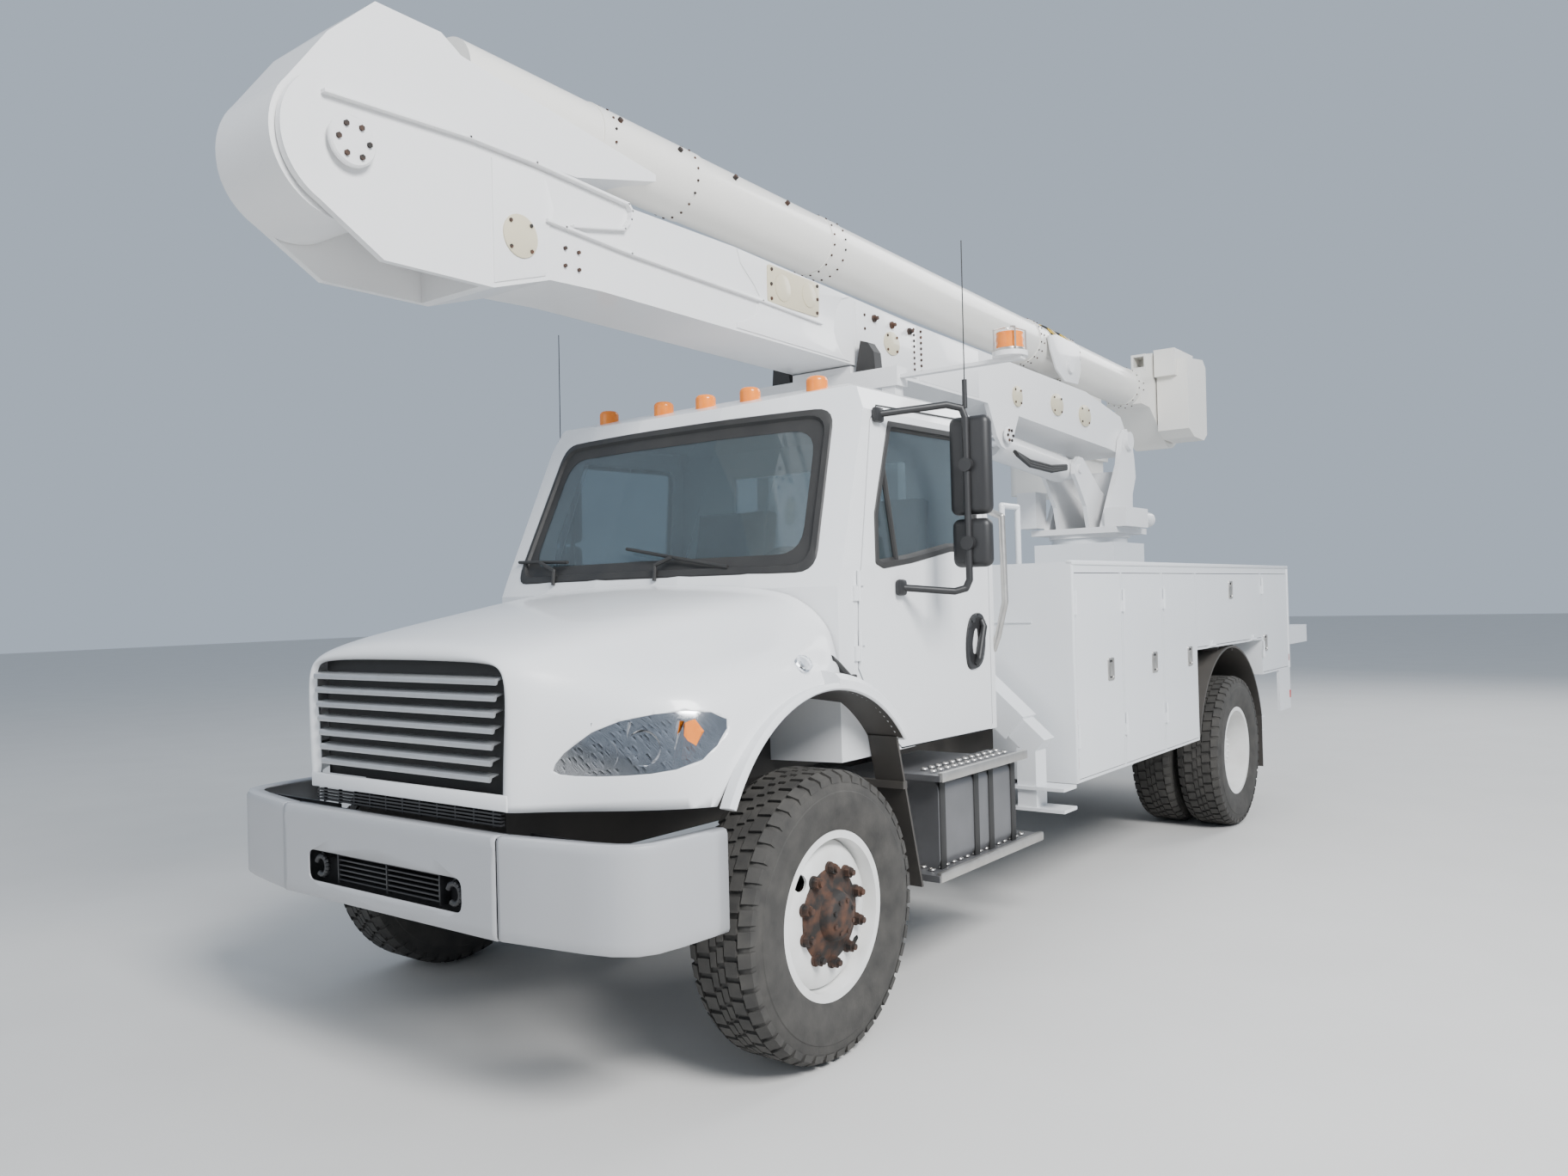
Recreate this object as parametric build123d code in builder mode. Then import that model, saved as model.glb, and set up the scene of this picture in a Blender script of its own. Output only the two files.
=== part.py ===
from build123d import *
import os

os.makedirs("parts", exist_ok=True)

# Cherry picker truck. X points to the driver's side, Y to the rear, Z up, all in mm.
# The wheels stand on Z = 0 and the origin lies under the middle of the whole machine.
BUMPER_Y = -3850.0      # front face of the bumper; stations are measured from here
GAP = 8.0               # running gap round doors and lids
SEAT = 0.3              # fitting gap between curved or separate pieces
MOVE = 5.0              # least gap between pieces that move past each other


def station(distance):
    """Y of a place that lies this far behind the bumper's front face."""
    return BUMPER_Y + distance


# Chassis
FRONT_AXLE_Y = station(1057)
WHEELBASE = 4926.0
REAR_AXLE_Y = FRONT_AXLE_Y + WHEELBASE
TYRE_R = 517.0
TYRE_HALF_W = 140.0
HUB_Z = TYRE_R
FRONT_TYRE_X = 1064.0
REAR_OUTER_X = 1073.0
REAR_INNER_X = 753.0
RAIL_X = 430.0          # outer face of each frame rail
RAIL_TOP = 1000.0
RAIL_H = 255.0
RAIL_WEB = 10.0
RAIL_FLANGE = 75.0
RAIL_FRONT = station(205)
RAIL_REAR = station(7700)
RAIL_BOTTOM = RAIL_TOP - RAIL_H
CROSS_W = 50.0          # crossmember, along Y
CROSS_H = 120.0
HITCH_PITCH_X = 86.0    # tow hook's bolt holes in the last crossmember
HITCH_PITCH_Z = 44.0
HITCH_BOLT_R = 6.75
CROSS_STATIONS = (205, 1900, 2700, 3900, 4900, 7150, 7650)

# Cab
CAB_HALF = 1010.0
CAB_FLOOR = 1010.0
CAB_WALL = 45.0
CAB_REAR = station(2700)
CAB_FRONT = station(1262)       # foremost point of the curved windscreen foot
FRONT_BOW = 105.0               # how far the front's ends lie behind its middle
COWL_Z = 1700.0
BELT_Z = 1780.0
EAVE_Z = 2440.0
EAVE_HALF = 955.0
ROOF_Z = 2612.0
SCREEN_RAKE = 0.423             # Y per Z of the windscreen

HOOD_PIVOT_Y = station(92)
HOOD_PIVOT_Z = 945.0
HOOD_PIN_R = 12.0

# Service body
BODY_HALF = 1219.0
BODY_TOP = 1804.0
BODY_FRONT = station(3141)
BODY_REAR = station(7380)
BODY_BOTTOM = 690.0
LOCKER_INNER = 762.0
LOCKER_WALL = 20.0
DOOR_T = 25.0
BED_Z = 1130.0

# Aerial device
TURRET_Y = station(6370)
BOOM_PIVOT_Y = station(6590)
BOOM_PIVOT_Z = 2835.0
ELBOW_Y = station(-187)
ELBOW_Z = 3176.0
BOOM_HALF = 200.0
BOOM_PLATE = 28.0
HOUSING_HALF = 165.0
TUBE_R = 155.0
TUBE_START_Y = station(350)
TUBE_START_Z = 3631.0
TUBE_END_Y = station(7261)
TUBE_END_Z = 3364.0
TIP_Y = station(7880)
TIP_Z = 3200.0
LIFT_FOOT_Y = station(5884)
LIFT_FOOT_Z = 2573.0
LIFT_EYE_Y = station(4530)
LIFT_EYE_Z = 2680.0


def slab(x0, x1, y0, y1, z0, z1, mode=Mode.ADD):
    """A block given by its two opposite corners."""
    with Locations(((x0 + x1) / 2, (y0 + y1) / 2, (z0 + z1) / 2)):
        Box(abs(x1 - x0), abs(y1 - y0), abs(z1 - z0), mode=mode)


def side_face(points, x):
    """A flat outline of (Y, Z) points at this X."""
    with BuildSketch(Plane.YZ.offset(x)) as sketch:
        with BuildLine():
            Polyline(*points, close=True)
        make_face()
    return sketch.sketch


def front_face(points, y):
    """A flat outline of (X, Z) points at this Y, seen from the front."""
    with BuildSketch(Plane.XZ.offset(-y)) as sketch:
        with BuildLine():
            Polyline(*points, close=True)
        make_face()
    return sketch.sketch


def plan_face(points, z):
    """A flat outline of (X, Y) points at this Z."""
    with BuildSketch(Plane.XY.offset(z)) as sketch:
        with BuildLine():
            Polyline(*points, close=True)
        make_face()
    return sketch.sketch


def rod(start, end, radius, mode=Mode.ADD):
    """A round bar between two points."""
    a = Vector(*start)
    along = Vector(*end) - a
    with BuildSketch(Plane(origin=a, z_dir=along)) as sketch:
        Circle(radius)
    extrude(sketch.sketch, amount=along.length, mode=mode)


def beam(start, end, width, height, mode=Mode.ADD):
    """A square-edged bar between two points, its width along X or else along Y."""
    a = Vector(*start)
    along = Vector(*end) - a
    side = (1, 0, 0) if abs(along.X) < 0.5 * along.length else (0, 1, 0)
    with BuildSketch(Plane(origin=a, x_dir=side, z_dir=along)) as sketch:
        Rectangle(width, height)
    extrude(sketch.sketch, amount=along.length, mode=mode)


def save(part, name):
    part.label = name
    export_step(part, "parts/" + name + ".step")


# Frame: two channel rails and their crossmembers
with BuildPart() as frame:
    for side in (1, -1):
        outer = side * RAIL_X
        inner = side * (RAIL_X - RAIL_FLANGE)
        slab(outer, outer - side * RAIL_WEB, RAIL_FRONT, RAIL_REAR, RAIL_BOTTOM, RAIL_TOP)
        slab(outer, inner, RAIL_FRONT, RAIL_REAR, RAIL_BOTTOM, RAIL_BOTTOM + RAIL_WEB)
        slab(outer, inner, RAIL_FRONT, RAIL_REAR, RAIL_TOP - RAIL_WEB, RAIL_TOP)
    for distance in CROSS_STATIONS:
        y = station(distance)
        middle = (RAIL_TOP + RAIL_BOTTOM) / 2
        reach = RAIL_X - RAIL_WEB
        slab(-reach, reach, y, y + CROSS_W, middle - CROSS_H / 2, middle + CROSS_H / 2)
    hitch_z = RAIL_BOTTOM + RAIL_H / 2
    for x in (-HITCH_PITCH_X / 2, HITCH_PITCH_X / 2):
        for z in (hitch_z - HITCH_PITCH_Z / 2, hitch_z + HITCH_PITCH_Z / 2):
            rod((x, RAIL_REAR - CROSS_W - 1, z), (x, RAIL_REAR + 1, z), HITCH_BOLT_R, Mode.SUBTRACT)
save(frame.part, "frame")

# Engine block, and the radiator stack ahead of it
ENGINE_FRONT = station(560)
ENGINE_REAR = station(1240)
GEARBOX_REAR = station(1850)
RADIATOR_T = 80.0
between_rails = RAIL_X - RAIL_FLANGE - SEAT
with BuildPart() as engine:
    slab(-between_rails, between_rails, ENGINE_FRONT, ENGINE_REAR, 720, 1200)
    slab(-between_rails, between_rails, ENGINE_REAR, GEARBOX_REAR, 720, RAIL_TOP)
    radiator_y = RAIL_FRONT + CROSS_W
    slab(-between_rails, between_rails, radiator_y, radiator_y + RADIATOR_T, RAIL_BOTTOM, 1380)
save(engine.part, "engine")

# Axles with their leaf springs
SPRING_W = 70.0
SPRING_T = 45.0
AXLE_TUBE_R = 75.0
KINGPIN_X = 900.0
YOKE_R = 55.0
BOSS_HALF_H = 75.0
SPINDLE_R = 44.7


def springs(axle_y, reach, sag):
    """A pair of leaf packs with their hangers, under the rails."""
    eye_z = RAIL_BOTTOM - 40
    for side in (1, -1):
        x0 = side * RAIL_X - (SPRING_W if side > 0 else 0)
        with BuildSketch(Plane.YZ.offset(x0)) as leaf:
            with BuildLine():
                a = (axle_y - reach, eye_z)
                b = (axle_y + reach, eye_z)
                ThreePointArc(a, (axle_y, eye_z - sag), b)
                Line(b, (b[0], b[1] - SPRING_T))
                ThreePointArc((b[0], b[1] - SPRING_T), (axle_y, eye_z - sag - SPRING_T),
                              (a[0], a[1] - SPRING_T))
                Line((a[0], a[1] - SPRING_T), a)
            make_face()
        extrude(leaf.sketch, amount=SPRING_W)
        for end in (-1, 1):
            y = axle_y + end * (reach - 30)
            slab(x0, x0 + SPRING_W, y - 30, y + 30, eye_z - 30, RAIL_BOTTOM)
        slab(x0, x0 + SPRING_W, axle_y - 60, axle_y + 60, HUB_Z, eye_z - sag + 20)


with BuildPart() as front_axle:
    rod((-800, FRONT_AXLE_Y, HUB_Z), (800, FRONT_AXLE_Y, HUB_Z), AXLE_TUBE_R)
    rod((-240, FRONT_AXLE_Y, HUB_Z), (0, FRONT_AXLE_Y, HUB_Z), 165)
    springs(FRONT_AXLE_Y, 600, 60)
    for side in (1, -1):
        for low in (-BOSS_HALF_H - SEAT - 40, BOSS_HALF_H + SEAT):
            z = HUB_Z + low
            slab(side * 780, side * KINGPIN_X, FRONT_AXLE_Y - YOKE_R, FRONT_AXLE_Y + YOKE_R, z, z + 40)
            with Locations((side * KINGPIN_X, FRONT_AXLE_Y, z + 20)):
                Cylinder(YOKE_R, 40)
        slab(side * 770, side * 815, FRONT_AXLE_Y - YOKE_R, FRONT_AXLE_Y + YOKE_R,
             HUB_Z - BOSS_HALF_H - SEAT - 40, HUB_Z + BOSS_HALF_H + SEAT + 40)
save(front_axle.part, "front_axle")

with BuildPart() as rear_axle:
    rod((-955, REAR_AXLE_Y, HUB_Z), (955, REAR_AXLE_Y, HUB_Z), SPINDLE_R)
    rod((-620, REAR_AXLE_Y, HUB_Z), (620, REAR_AXLE_Y, HUB_Z), AXLE_TUBE_R)
    rod((-110, REAR_AXLE_Y, HUB_Z), (110, REAR_AXLE_Y, HUB_Z), 190)
    springs(REAR_AXLE_Y, 680, 60)
save(rear_axle.part, "rear_axle")

# Steering knuckles
for name, side in (("left", 1), ("right", -1)):
    with BuildPart() as knuckle:
        with Locations((side * KINGPIN_X, FRONT_AXLE_Y, HUB_Z)):
            Cylinder(58, 2 * BOSS_HALF_H)
        rod((side * KINGPIN_X, FRONT_AXLE_Y, HUB_Z), (side * 1090, FRONT_AXLE_Y, HUB_Z), SPINDLE_R)
        rod((side * 960, FRONT_AXLE_Y, HUB_Z), (side * 972, FRONT_AXLE_Y, HUB_Z), 165)
    save(knuckle.part, "knuckle_" + name)

# Wheels: each outline is (distance out from the tyre's middle, radius)
BEAD_R = 287.0
FLANGE_R = 300.0
RIM_HALF = 118.0
BORE_R = 44.75
DISC_T = 14.0
RIM_BARREL = [(-118, 300), (-118, 272), (118, 272), (118, 300), (106, 300), (102, 287), (-102, 287), (-106, 300)]
FRONT_DISC = [(36, 276), (56, 276), (92, 205), (92, 60), (78, 60), (78, 200)]
FRONT_HUB = [(-84, 44.75), (-84, 190), (-15, 190), (-15, 100), (80, 100), (80, 44.75)]
FRONT_CAP = [(30, 0), (30, 60), (92, 60), (92, 100), (132, 96), (158, 60), (158, 0)]
REAR_DISC = [(-36, 276), (-56, 276), (-160, 195), (-160, 60), (-146, 60), (-146, 190)]
TYRE_SECTION = [(-100, 287.3), (-104.5, 300.3), (-119, 302), (-140, 400), (-118, 500), (-96, 517),
                (96, 517), (118, 500), (140, 400), (119, 302), (104.5, 300.3), (100, 287.3)]


def turned(outlines, centre_x, axle_y, side):
    """Outlines of (outward, radius) turned about the wheel's axis."""
    with BuildPart() as piece:
        with BuildSketch(Plane.XY.offset(HUB_Z)) as sketch:
            for outline in outlines:
                with BuildLine():
                    Polyline(*[(side * (centre_x + out), axle_y + radius) for out, radius in outline],
                             close=True)
                make_face()
        revolve(axis=Axis((0, axle_y, HUB_Z), (1, 0, 0)))
    return piece.part


HAND_HOLES = 5
HAND_HOLE_R = 28.0
HAND_HOLE_PITCH_R = 232.0
for name, side in (("left", 1), ("right", -1)):
    save(turned([TYRE_SECTION], FRONT_TYRE_X, FRONT_AXLE_Y, side), "tyre_front_" + name)
    with BuildPart() as rim:
        add(turned([RIM_BARREL, FRONT_DISC, FRONT_HUB, FRONT_CAP], FRONT_TYRE_X, FRONT_AXLE_Y, side))
        with Locations(Plane(origin=(side * (FRONT_TYRE_X + 70), FRONT_AXLE_Y, HUB_Z), z_dir=(side, 0, 0))):
            with PolarLocations(HAND_HOLE_PITCH_R, HAND_HOLES):
                Cylinder(HAND_HOLE_R, 80, mode=Mode.SUBTRACT)
    save(rim.part, "rim_front_" + name)
    with BuildPart() as duals:
        add(turned([TYRE_SECTION], REAR_OUTER_X, REAR_AXLE_Y, side))
        add(turned([TYRE_SECTION], REAR_INNER_X, REAR_AXLE_Y, side))
    save(duals.part, "tyre_rear_" + name)
    REAR_HUB = [(640 - REAR_OUTER_X, 44.75), (640 - REAR_OUTER_X, 190), (720 - REAR_OUTER_X, 190),
                (720 - REAR_OUTER_X, 100), (-95, 100), (-80, 60), (-80, 0), (-113, 0), (-113, 44.75)]
    mirrored_disc = [(REAR_INNER_X - REAR_OUTER_X - out, radius) for out, radius in REAR_DISC]
    inner_barrel = [(REAR_INNER_X - REAR_OUTER_X + out, radius) for out, radius in RIM_BARREL]
    with BuildPart() as rim:
        add(turned([RIM_BARREL, REAR_DISC, inner_barrel, mirrored_disc, REAR_HUB],
                   REAR_OUTER_X, REAR_AXLE_Y, side))
    save(rim.part, "rim_rear_" + name)

# Bumper: a bent three-piece channel with an air opening
BUMPER_LOW = 595.0
BUMPER_HIGH = 930.0
BUMPER_OUTER = [(622, 0), (1000, 62), (1150, 160), (1180, 480)]
BUMPER_INNER = [(620, 12), (994, 74), (1138, 170), (1168, 480)]
with BuildPart() as bumper:
    right_outer = [(-x, station(y)) for x, y in reversed(BUMPER_OUTER)]
    left_outer = [(x, station(y)) for x, y in BUMPER_OUTER]
    left_inner = [(x, station(y)) for x, y in reversed(BUMPER_INNER)]
    right_inner = [(-x, station(y)) for x, y in BUMPER_INNER]
    extrude(plan_face(right_outer + left_outer + left_inner + right_inner, BUMPER_LOW),
            amount=BUMPER_HIGH - BUMPER_LOW)
    with BuildSketch(Plane.XZ.offset(-station(-50))) as opening:
        with Locations((0, 717)):
            RectangleRounded(900, 120, 35)
    extrude(opening.sketch, amount=-150, mode=Mode.SUBTRACT)
    for side in (1, -1):
        slab(side * 470, side * 560, station(11), station(60), 620, 900)
        slab(side * RAIL_X, side * (RAIL_X - RAIL_FLANGE), station(60), RAIL_FRONT, 760, 900)
        slab(side * 365, side * 560, station(40), station(60), 800, 900)
        slab(side * 355, side * 365, station(60), station(125), 860, 965)
        rod((side * 366, HOOD_PIVOT_Y, HOOD_PIVOT_Z), (side * 334, HOOD_PIVOT_Y, HOOD_PIVOT_Z), HOOD_PIN_R)
save(bumper.part, "bumper")

# Cab: a hollow shell, its doors and glass cut from the same form
CAB_SIDE = [(1200, CAB_FLOOR), (1200, 2380), (1700, 2545), (1900, ROOF_Z - 10), (2300, ROOF_Z),
            (2600, 2590), (2690, 2520), (2700, 2300), (2700, CAB_FLOOR)]
DOOR_OUTLINE = [(1525, 1690), (1725, 2395), (1800, 2465), (2554, 2485), (2646, 2400), (2655, 1900), (2655, 1035),
                (2630, 1008), (1829, 1015), (1720, 1090), (1610, 1215), (1512, 1368)]
DOOR_WINDOW = [(1675, 1800), (1700, 1995), (1875, 2390), (2540, 2400), (2570, 2370), (2570, 1895),
               (2540, 1870), (2300, 1865), (1950, 1810), (1720, 1785)]
SCREEN_OUTLINE = [(-880, 1780), (880, 1780), (805, 2435), (-805, 2435)]
REAR_WINDOW = (-560, 560, 1880, 2330)


def bowed_plan(front, half, end_share):
    """A plan outline whose front edge bows back to both ends, closed behind the cab."""
    bow = [(half, end_share), (915, 0.93), (600, 0.4), (250, 0.07)]
    left = [(x, front + FRONT_BOW * share) for x, share in bow]
    right = [(-x, y) for x, y in reversed(left)]
    return left + right + [(-half, CAB_REAR + 50), (half, CAB_REAR + 50)]


def cab_front_form(front):
    """What lies behind the bowed cowl and the raked windscreen."""
    plan = bowed_plan(front, 1100, 1.3)
    with BuildPart() as form:
        extrude(plan_face(plan, CAB_FLOOR), amount=COWL_Z - CAB_FLOOR)
        extrude(plan_face(plan, COWL_Z), amount=1100, dir=(0, SCREEN_RAKE, 1))
    return form.part


def cab_form(inset):
    """The cab's outer form, drawn in by this much all round."""
    half = CAB_HALF - inset
    eave = EAVE_HALF - inset
    roof = ROOF_Z - inset
    across = [(-half, CAB_FLOOR + inset), (half, CAB_FLOOR + inset), (half, BELT_Z), (eave, EAVE_Z),
              (eave - 50, EAVE_Z + 100 - inset), (eave - 180, roof - 22), (0, roof),
              (-eave + 180, roof - 22), (-eave + 50, EAVE_Z + 100 - inset), (-eave, EAVE_Z), (-half, BELT_Z)]
    along = []
    for distance, z in CAB_SIDE:
        y = station(distance) - (inset if distance > 2500 else 0)
        along.append((y, z + inset if z == CAB_FLOOR else z - inset))
    bowed_front = cab_front_form(CAB_FRONT + inset)
    with BuildPart() as form:
        extrude(side_face(along, -1100), amount=2200)
        extrude(front_face(across, CAB_REAR + 100), amount=2000, mode=Mode.INTERSECT)
        add(bowed_front, mode=Mode.INTERSECT)
    return form.part


def grown(points, x, grow):
    """A side outline of (station, Z) points, made larger by this much all round."""
    with BuildSketch(Plane.YZ.offset(x)) as sketch:
        with BuildLine():
            Polyline(*[(station(distance), z) for distance, z in points], close=True)
        make_face()
        if grow:
            offset(amount=grow, kind=Kind.INTERSECTION)
    return sketch.sketch


def through_side(points, side, grow, mode):
    """A side outline taken through one side wall of the cab."""
    start = 700 if side > 0 else -1150
    extrude(grown(points, start, grow), amount=450, mode=mode)


HINGE_R = 8.0
HINGE_OUT = 9.0         # how far a hinge's pin stands outside the panel's face
HINGE_LENGTH = 60.0


def hinge_half(face_x, y, z, reach, side):
    """One half of a door hinge on an outer face: a barrel and its leaf, which reaches along Y."""
    x = face_x + side * HINGE_OUT
    with Locations((x, y, z + HINGE_LENGTH / 2)):
        Cylinder(HINGE_R, HINGE_LENGTH)
    slab(face_x, x, y, y + reach, z, z + HINGE_LENGTH)


cab_outer = cab_form(0)
cab_inner = cab_form(CAB_WALL)
glass_outer = cab_form(18)
glass_inner = cab_form(25)
CAB_HINGE_Y = station(1518)
CAB_HINGE_HEIGHTS = (1400, 1640)
CAB_MOUNT_STATIONS = (1750, 2600)
with BuildPart() as cab:
    add(cab_outer)
    add(cab_inner, mode=Mode.SUBTRACT)
    extrude(front_face(SCREEN_OUTLINE, station(1900)), amount=800, mode=Mode.SUBTRACT)
    slab(REAR_WINDOW[0], REAR_WINDOW[1], CAB_REAR - 100, CAB_REAR + 50, REAR_WINDOW[2], REAR_WINDOW[3],
         Mode.SUBTRACT)
    for side in (1, -1):
        through_side(DOOR_OUTLINE, side, GAP / 2, Mode.SUBTRACT)
        for z in CAB_HINGE_HEIGHTS:
            hinge_half(side * CAB_HALF, CAB_HINGE_Y, z, -35, side)
        for distance in CAB_MOUNT_STATIONS:
            y = station(distance)
            slab(side * RAIL_X, side * (RAIL_X - RAIL_FLANGE), y, y + 80, RAIL_TOP, CAB_FLOOR + 5)
        slab(side * 690, side * (CAB_HALF - CAB_WALL - GAP), station(1600), station(2670),
             CAB_FLOOR, CAB_FLOOR + CAB_WALL)
save(cab.part, "cab")

with BuildPart() as panes:
    with BuildSketch(Plane.XZ.offset(-station(1900))) as screen:
        with BuildLine():
            Polyline(*SCREEN_OUTLINE, close=True)
        make_face()
        offset(amount=-SEAT, kind=Kind.INTERSECTION)
    extrude(screen.sketch, amount=800)
    slab(REAR_WINDOW[0] + SEAT, REAR_WINDOW[1] - SEAT, CAB_REAR - 100, CAB_REAR + 50,
         REAR_WINDOW[2] + SEAT, REAR_WINDOW[3] - SEAT)
with BuildPart() as cab_glass:
    add(glass_outer)
    add(glass_inner, mode=Mode.SUBTRACT)
    add(panes.part, mode=Mode.INTERSECT)
save(cab_glass.part, "cab_glass")

# Cab doors with their glass and mirrors
MIRROR_X = 1255.0
MIRROR_Y = station(2005)
for name, side in (("left", 1), ("right", -1)):
    with BuildPart() as door:
        add(cab_outer)
        add(cab_inner, mode=Mode.SUBTRACT)
        through_side(DOOR_OUTLINE, side, -GAP / 2, Mode.INTERSECT)
        slab(side * 650, side * (CAB_HALF - CAB_WALL), station(1500), station(2700), CAB_FLOOR - 10,
             CAB_FLOOR + CAB_WALL + 1, Mode.SUBTRACT)
        through_side(DOOR_WINDOW, side, 0, Mode.SUBTRACT)
        for z in CAB_HINGE_HEIGHTS:
            hinge_half(side * CAB_HALF, CAB_HINGE_Y, z + HINGE_LENGTH + SEAT, 40, side)
    save(door.part, "cab_door_" + name)
    with BuildPart() as glass:
        add(glass_outer)
        add(glass_inner, mode=Mode.SUBTRACT)
        through_side(DOOR_WINDOW, side, -SEAT, Mode.INTERSECT)
    save(glass.part, "door_glass_" + name)
    with BuildPart() as mirror_set:
        rod((side * MIRROR_X, MIRROR_Y, 1655), (side * MIRROR_X, MIRROR_Y, 2465), 14)
        rod((side * 968, station(1765), 2420), (side * MIRROR_X, MIRROR_Y, 2455), 12)
        rod((side * 1020, station(1830), 1690), (side * MIRROR_X, MIRROR_Y, 1668), 12)
        slab(side * 960, side * 980, station(1740), station(1790), 2395, 2440)
        slab(side * (CAB_HALF + SEAT), side * 1030, station(1805), station(1855), 1665, 1715)
        for half_w, low, high in ((95, 1990, 2410), (90, 1768, 1975)):
            with BuildSketch(Plane.XZ.offset(-(MIRROR_Y + 5))) as head:
                with Locations((side * MIRROR_X, (low + high) / 2)):
                    RectangleRounded(2 * half_w, high - low, 45)
            extrude(head.sketch, amount=-75)
    save(mirror_set.part, "mirror_" + name)

# Cab interior: seats, dash and steering wheel on the floor and front wall
SEAT_X = 470.0
INNER_FLOOR = CAB_FLOOR + CAB_WALL
with BuildPart() as dash:
    slab(-940, 940, station(1280), station(1720), 1380, 1700)
    add(cab_form(CAB_WALL + SEAT), mode=Mode.INTERSECT)
with BuildPart() as cab_interior:
    for side in (1, -1):
        slab(side * SEAT_X - 180, side * SEAT_X + 180, station(2050), station(2440), INNER_FLOOR, 1330)
        slab(side * SEAT_X - 250, side * SEAT_X + 250, station(1960), station(2500), 1330, 1460)
        extrude(side_face([(station(2420), 1460), (station(2540), 1460), (station(2620), 2120),
                           (station(2540), 2130)], side * SEAT_X - 240), amount=480)
    add(dash.part)
    rod((SEAT_X, station(1650), 1560), (SEAT_X, station(1872), 1697), 22)
    with Locations(Plane(origin=(SEAT_X, station(1870), 1696), z_dir=(0, 0.85, 0.53))):
        Torus(210, 14)
        Cylinder(30, 20)
        Box(410, 24, 14)
save(cab_interior.part, "cab_interior")

# Roof lamps
LAMP_STATION = 1790
with BuildPart() as roof_lamps:
    for x in (-647, -270, 0, 270, 647):
        with Locations((x, station(LAMP_STATION), ROOF_Z - 30)):
            Cylinder(48, 90)
            fillet(edges().filter_by(GeomType.CIRCLE).group_by(Axis.Z)[-1], 22)
    add(cab_outer, mode=Mode.SUBTRACT)
save(roof_lamps.part, "roof_lamps")

# Hood and fenders: one moulding, tilted forward on two pins; each row is one section's outline
# columns: station, then (X, Z) of crown, crown's side, shoulder, valley, fender top, fender edge, lower edge
HOOD_SECTIONS = [
    (88, (0, 1500), (300, 1497), (500, 1478), (572, 1440), (588, 1340), (588, 1200), (574, 985)),
    (130, (0, 1543), (320, 1535), (540, 1505), (622, 1450), (645, 1350), (645, 1200), (630, 985)),
    (200, (0, 1560), (330, 1552), (565, 1520), (665, 1455), (705, 1360), (722, 1220), (715, 985)),
    (300, (0, 1580), (340, 1570), (590, 1538), (705, 1465), (800, 1385), (878, 1270), (885, 985)),
    (412, (0, 1600), (350, 1588), (610, 1555), (745, 1478), (880, 1402), (1000, 1300), (1022, 985)),
    (534, (0, 1620), (360, 1607), (630, 1575), (775, 1495), (930, 1425), (1085, 1335), (1128, 985)),
    (800, (0, 1662), (390, 1645), (670, 1615), (810, 1545), (965, 1460), (1135, 1375), (1172, 985)),
    (1057, (0, 1700), (430, 1682), (710, 1658), (835, 1600), (970, 1495), (1140, 1395), (1182, 985)),
    (1290, (0, 1736), (455, 1718), (755, 1692), (862, 1645), (960, 1555), (1020, 1440), (1030, 985)),
    (1360, (0, 1746), (462, 1728), (765, 1702), (868, 1655), (960, 1570), (1012, 1450), (1012, 985)),
]
HOOD_WALL = 25.0
ARCH_Y = station(1085)
ARCH_Z = 690.0
ARCH_R = 635.0
FENDER_R = 682.0
TAIL_IN = 1045.0        # the fender's tail, carried back past the cab's corner
TAIL_OUT = 1182.0
TAIL_LIFT = 430.0       # its lower end above the arch's centre
GRILLE_FRONT = station(78)
GRILLE_OUTLINE = [(-530, 1462), (530, 1462), (562, 1430), (505, 1058), (475, 1035), (-475, 1035),
                  (-505, 1058), (-562, 1430)]
LAMP_OUTLINE = [(700, 1118), (712, 1158), (800, 1238), (950, 1290), (1060, 1288), (1095, 1232), (1080, 1150),
                (1017, 1112), (895, 1098), (760, 1100)]


def hood_form(inset, drop):
    """The moulding's outer form, drawn in by this much and carried this far down."""
    with BuildPart() as form:
        for first, second in zip(HOOD_SECTIONS, HOOD_SECTIONS[1:]):
            faces = []
            for row in (first, second):
                y = station(row[0]) + (inset if row is HOOD_SECTIONS[0] else 0)
                y += 60 if row is HOOD_SECTIONS[-1] and inset else 0
                half = [(x - inset if x else 0, z - inset) for x, z in row[1:-1]]
                half.append((row[-1][0] - inset, row[-1][1] - drop))
                outline = half + [(-x, z) for x, z in reversed(half) if x]
                faces.append(front_face(outline, y))
            loft(faces, ruled=True)
    return form.part


def hood_rear_cut():
    """Everything behind the line where the hood meets the windscreen's foot."""
    with BuildPart() as cut:
        extrude(plan_face(bowed_plan(CAB_FRONT - GAP, 1300, 1.3), 800), amount=1400)
    return cut.part


def lamp_prism(grow, first, last):
    with BuildPart() as prism:
        for side in (1, -1):
            with BuildSketch(Plane.XZ.offset(-station(last))) as sketch:
                with BuildLine():
                    Polyline(*[(side * x, z) for x, z in LAMP_OUTLINE], close=True)
                make_face()
                offset(amount=grow, kind=Kind.INTERSECTION)
            extrude(sketch.sketch, amount=last - first)
    return prism.part


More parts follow.
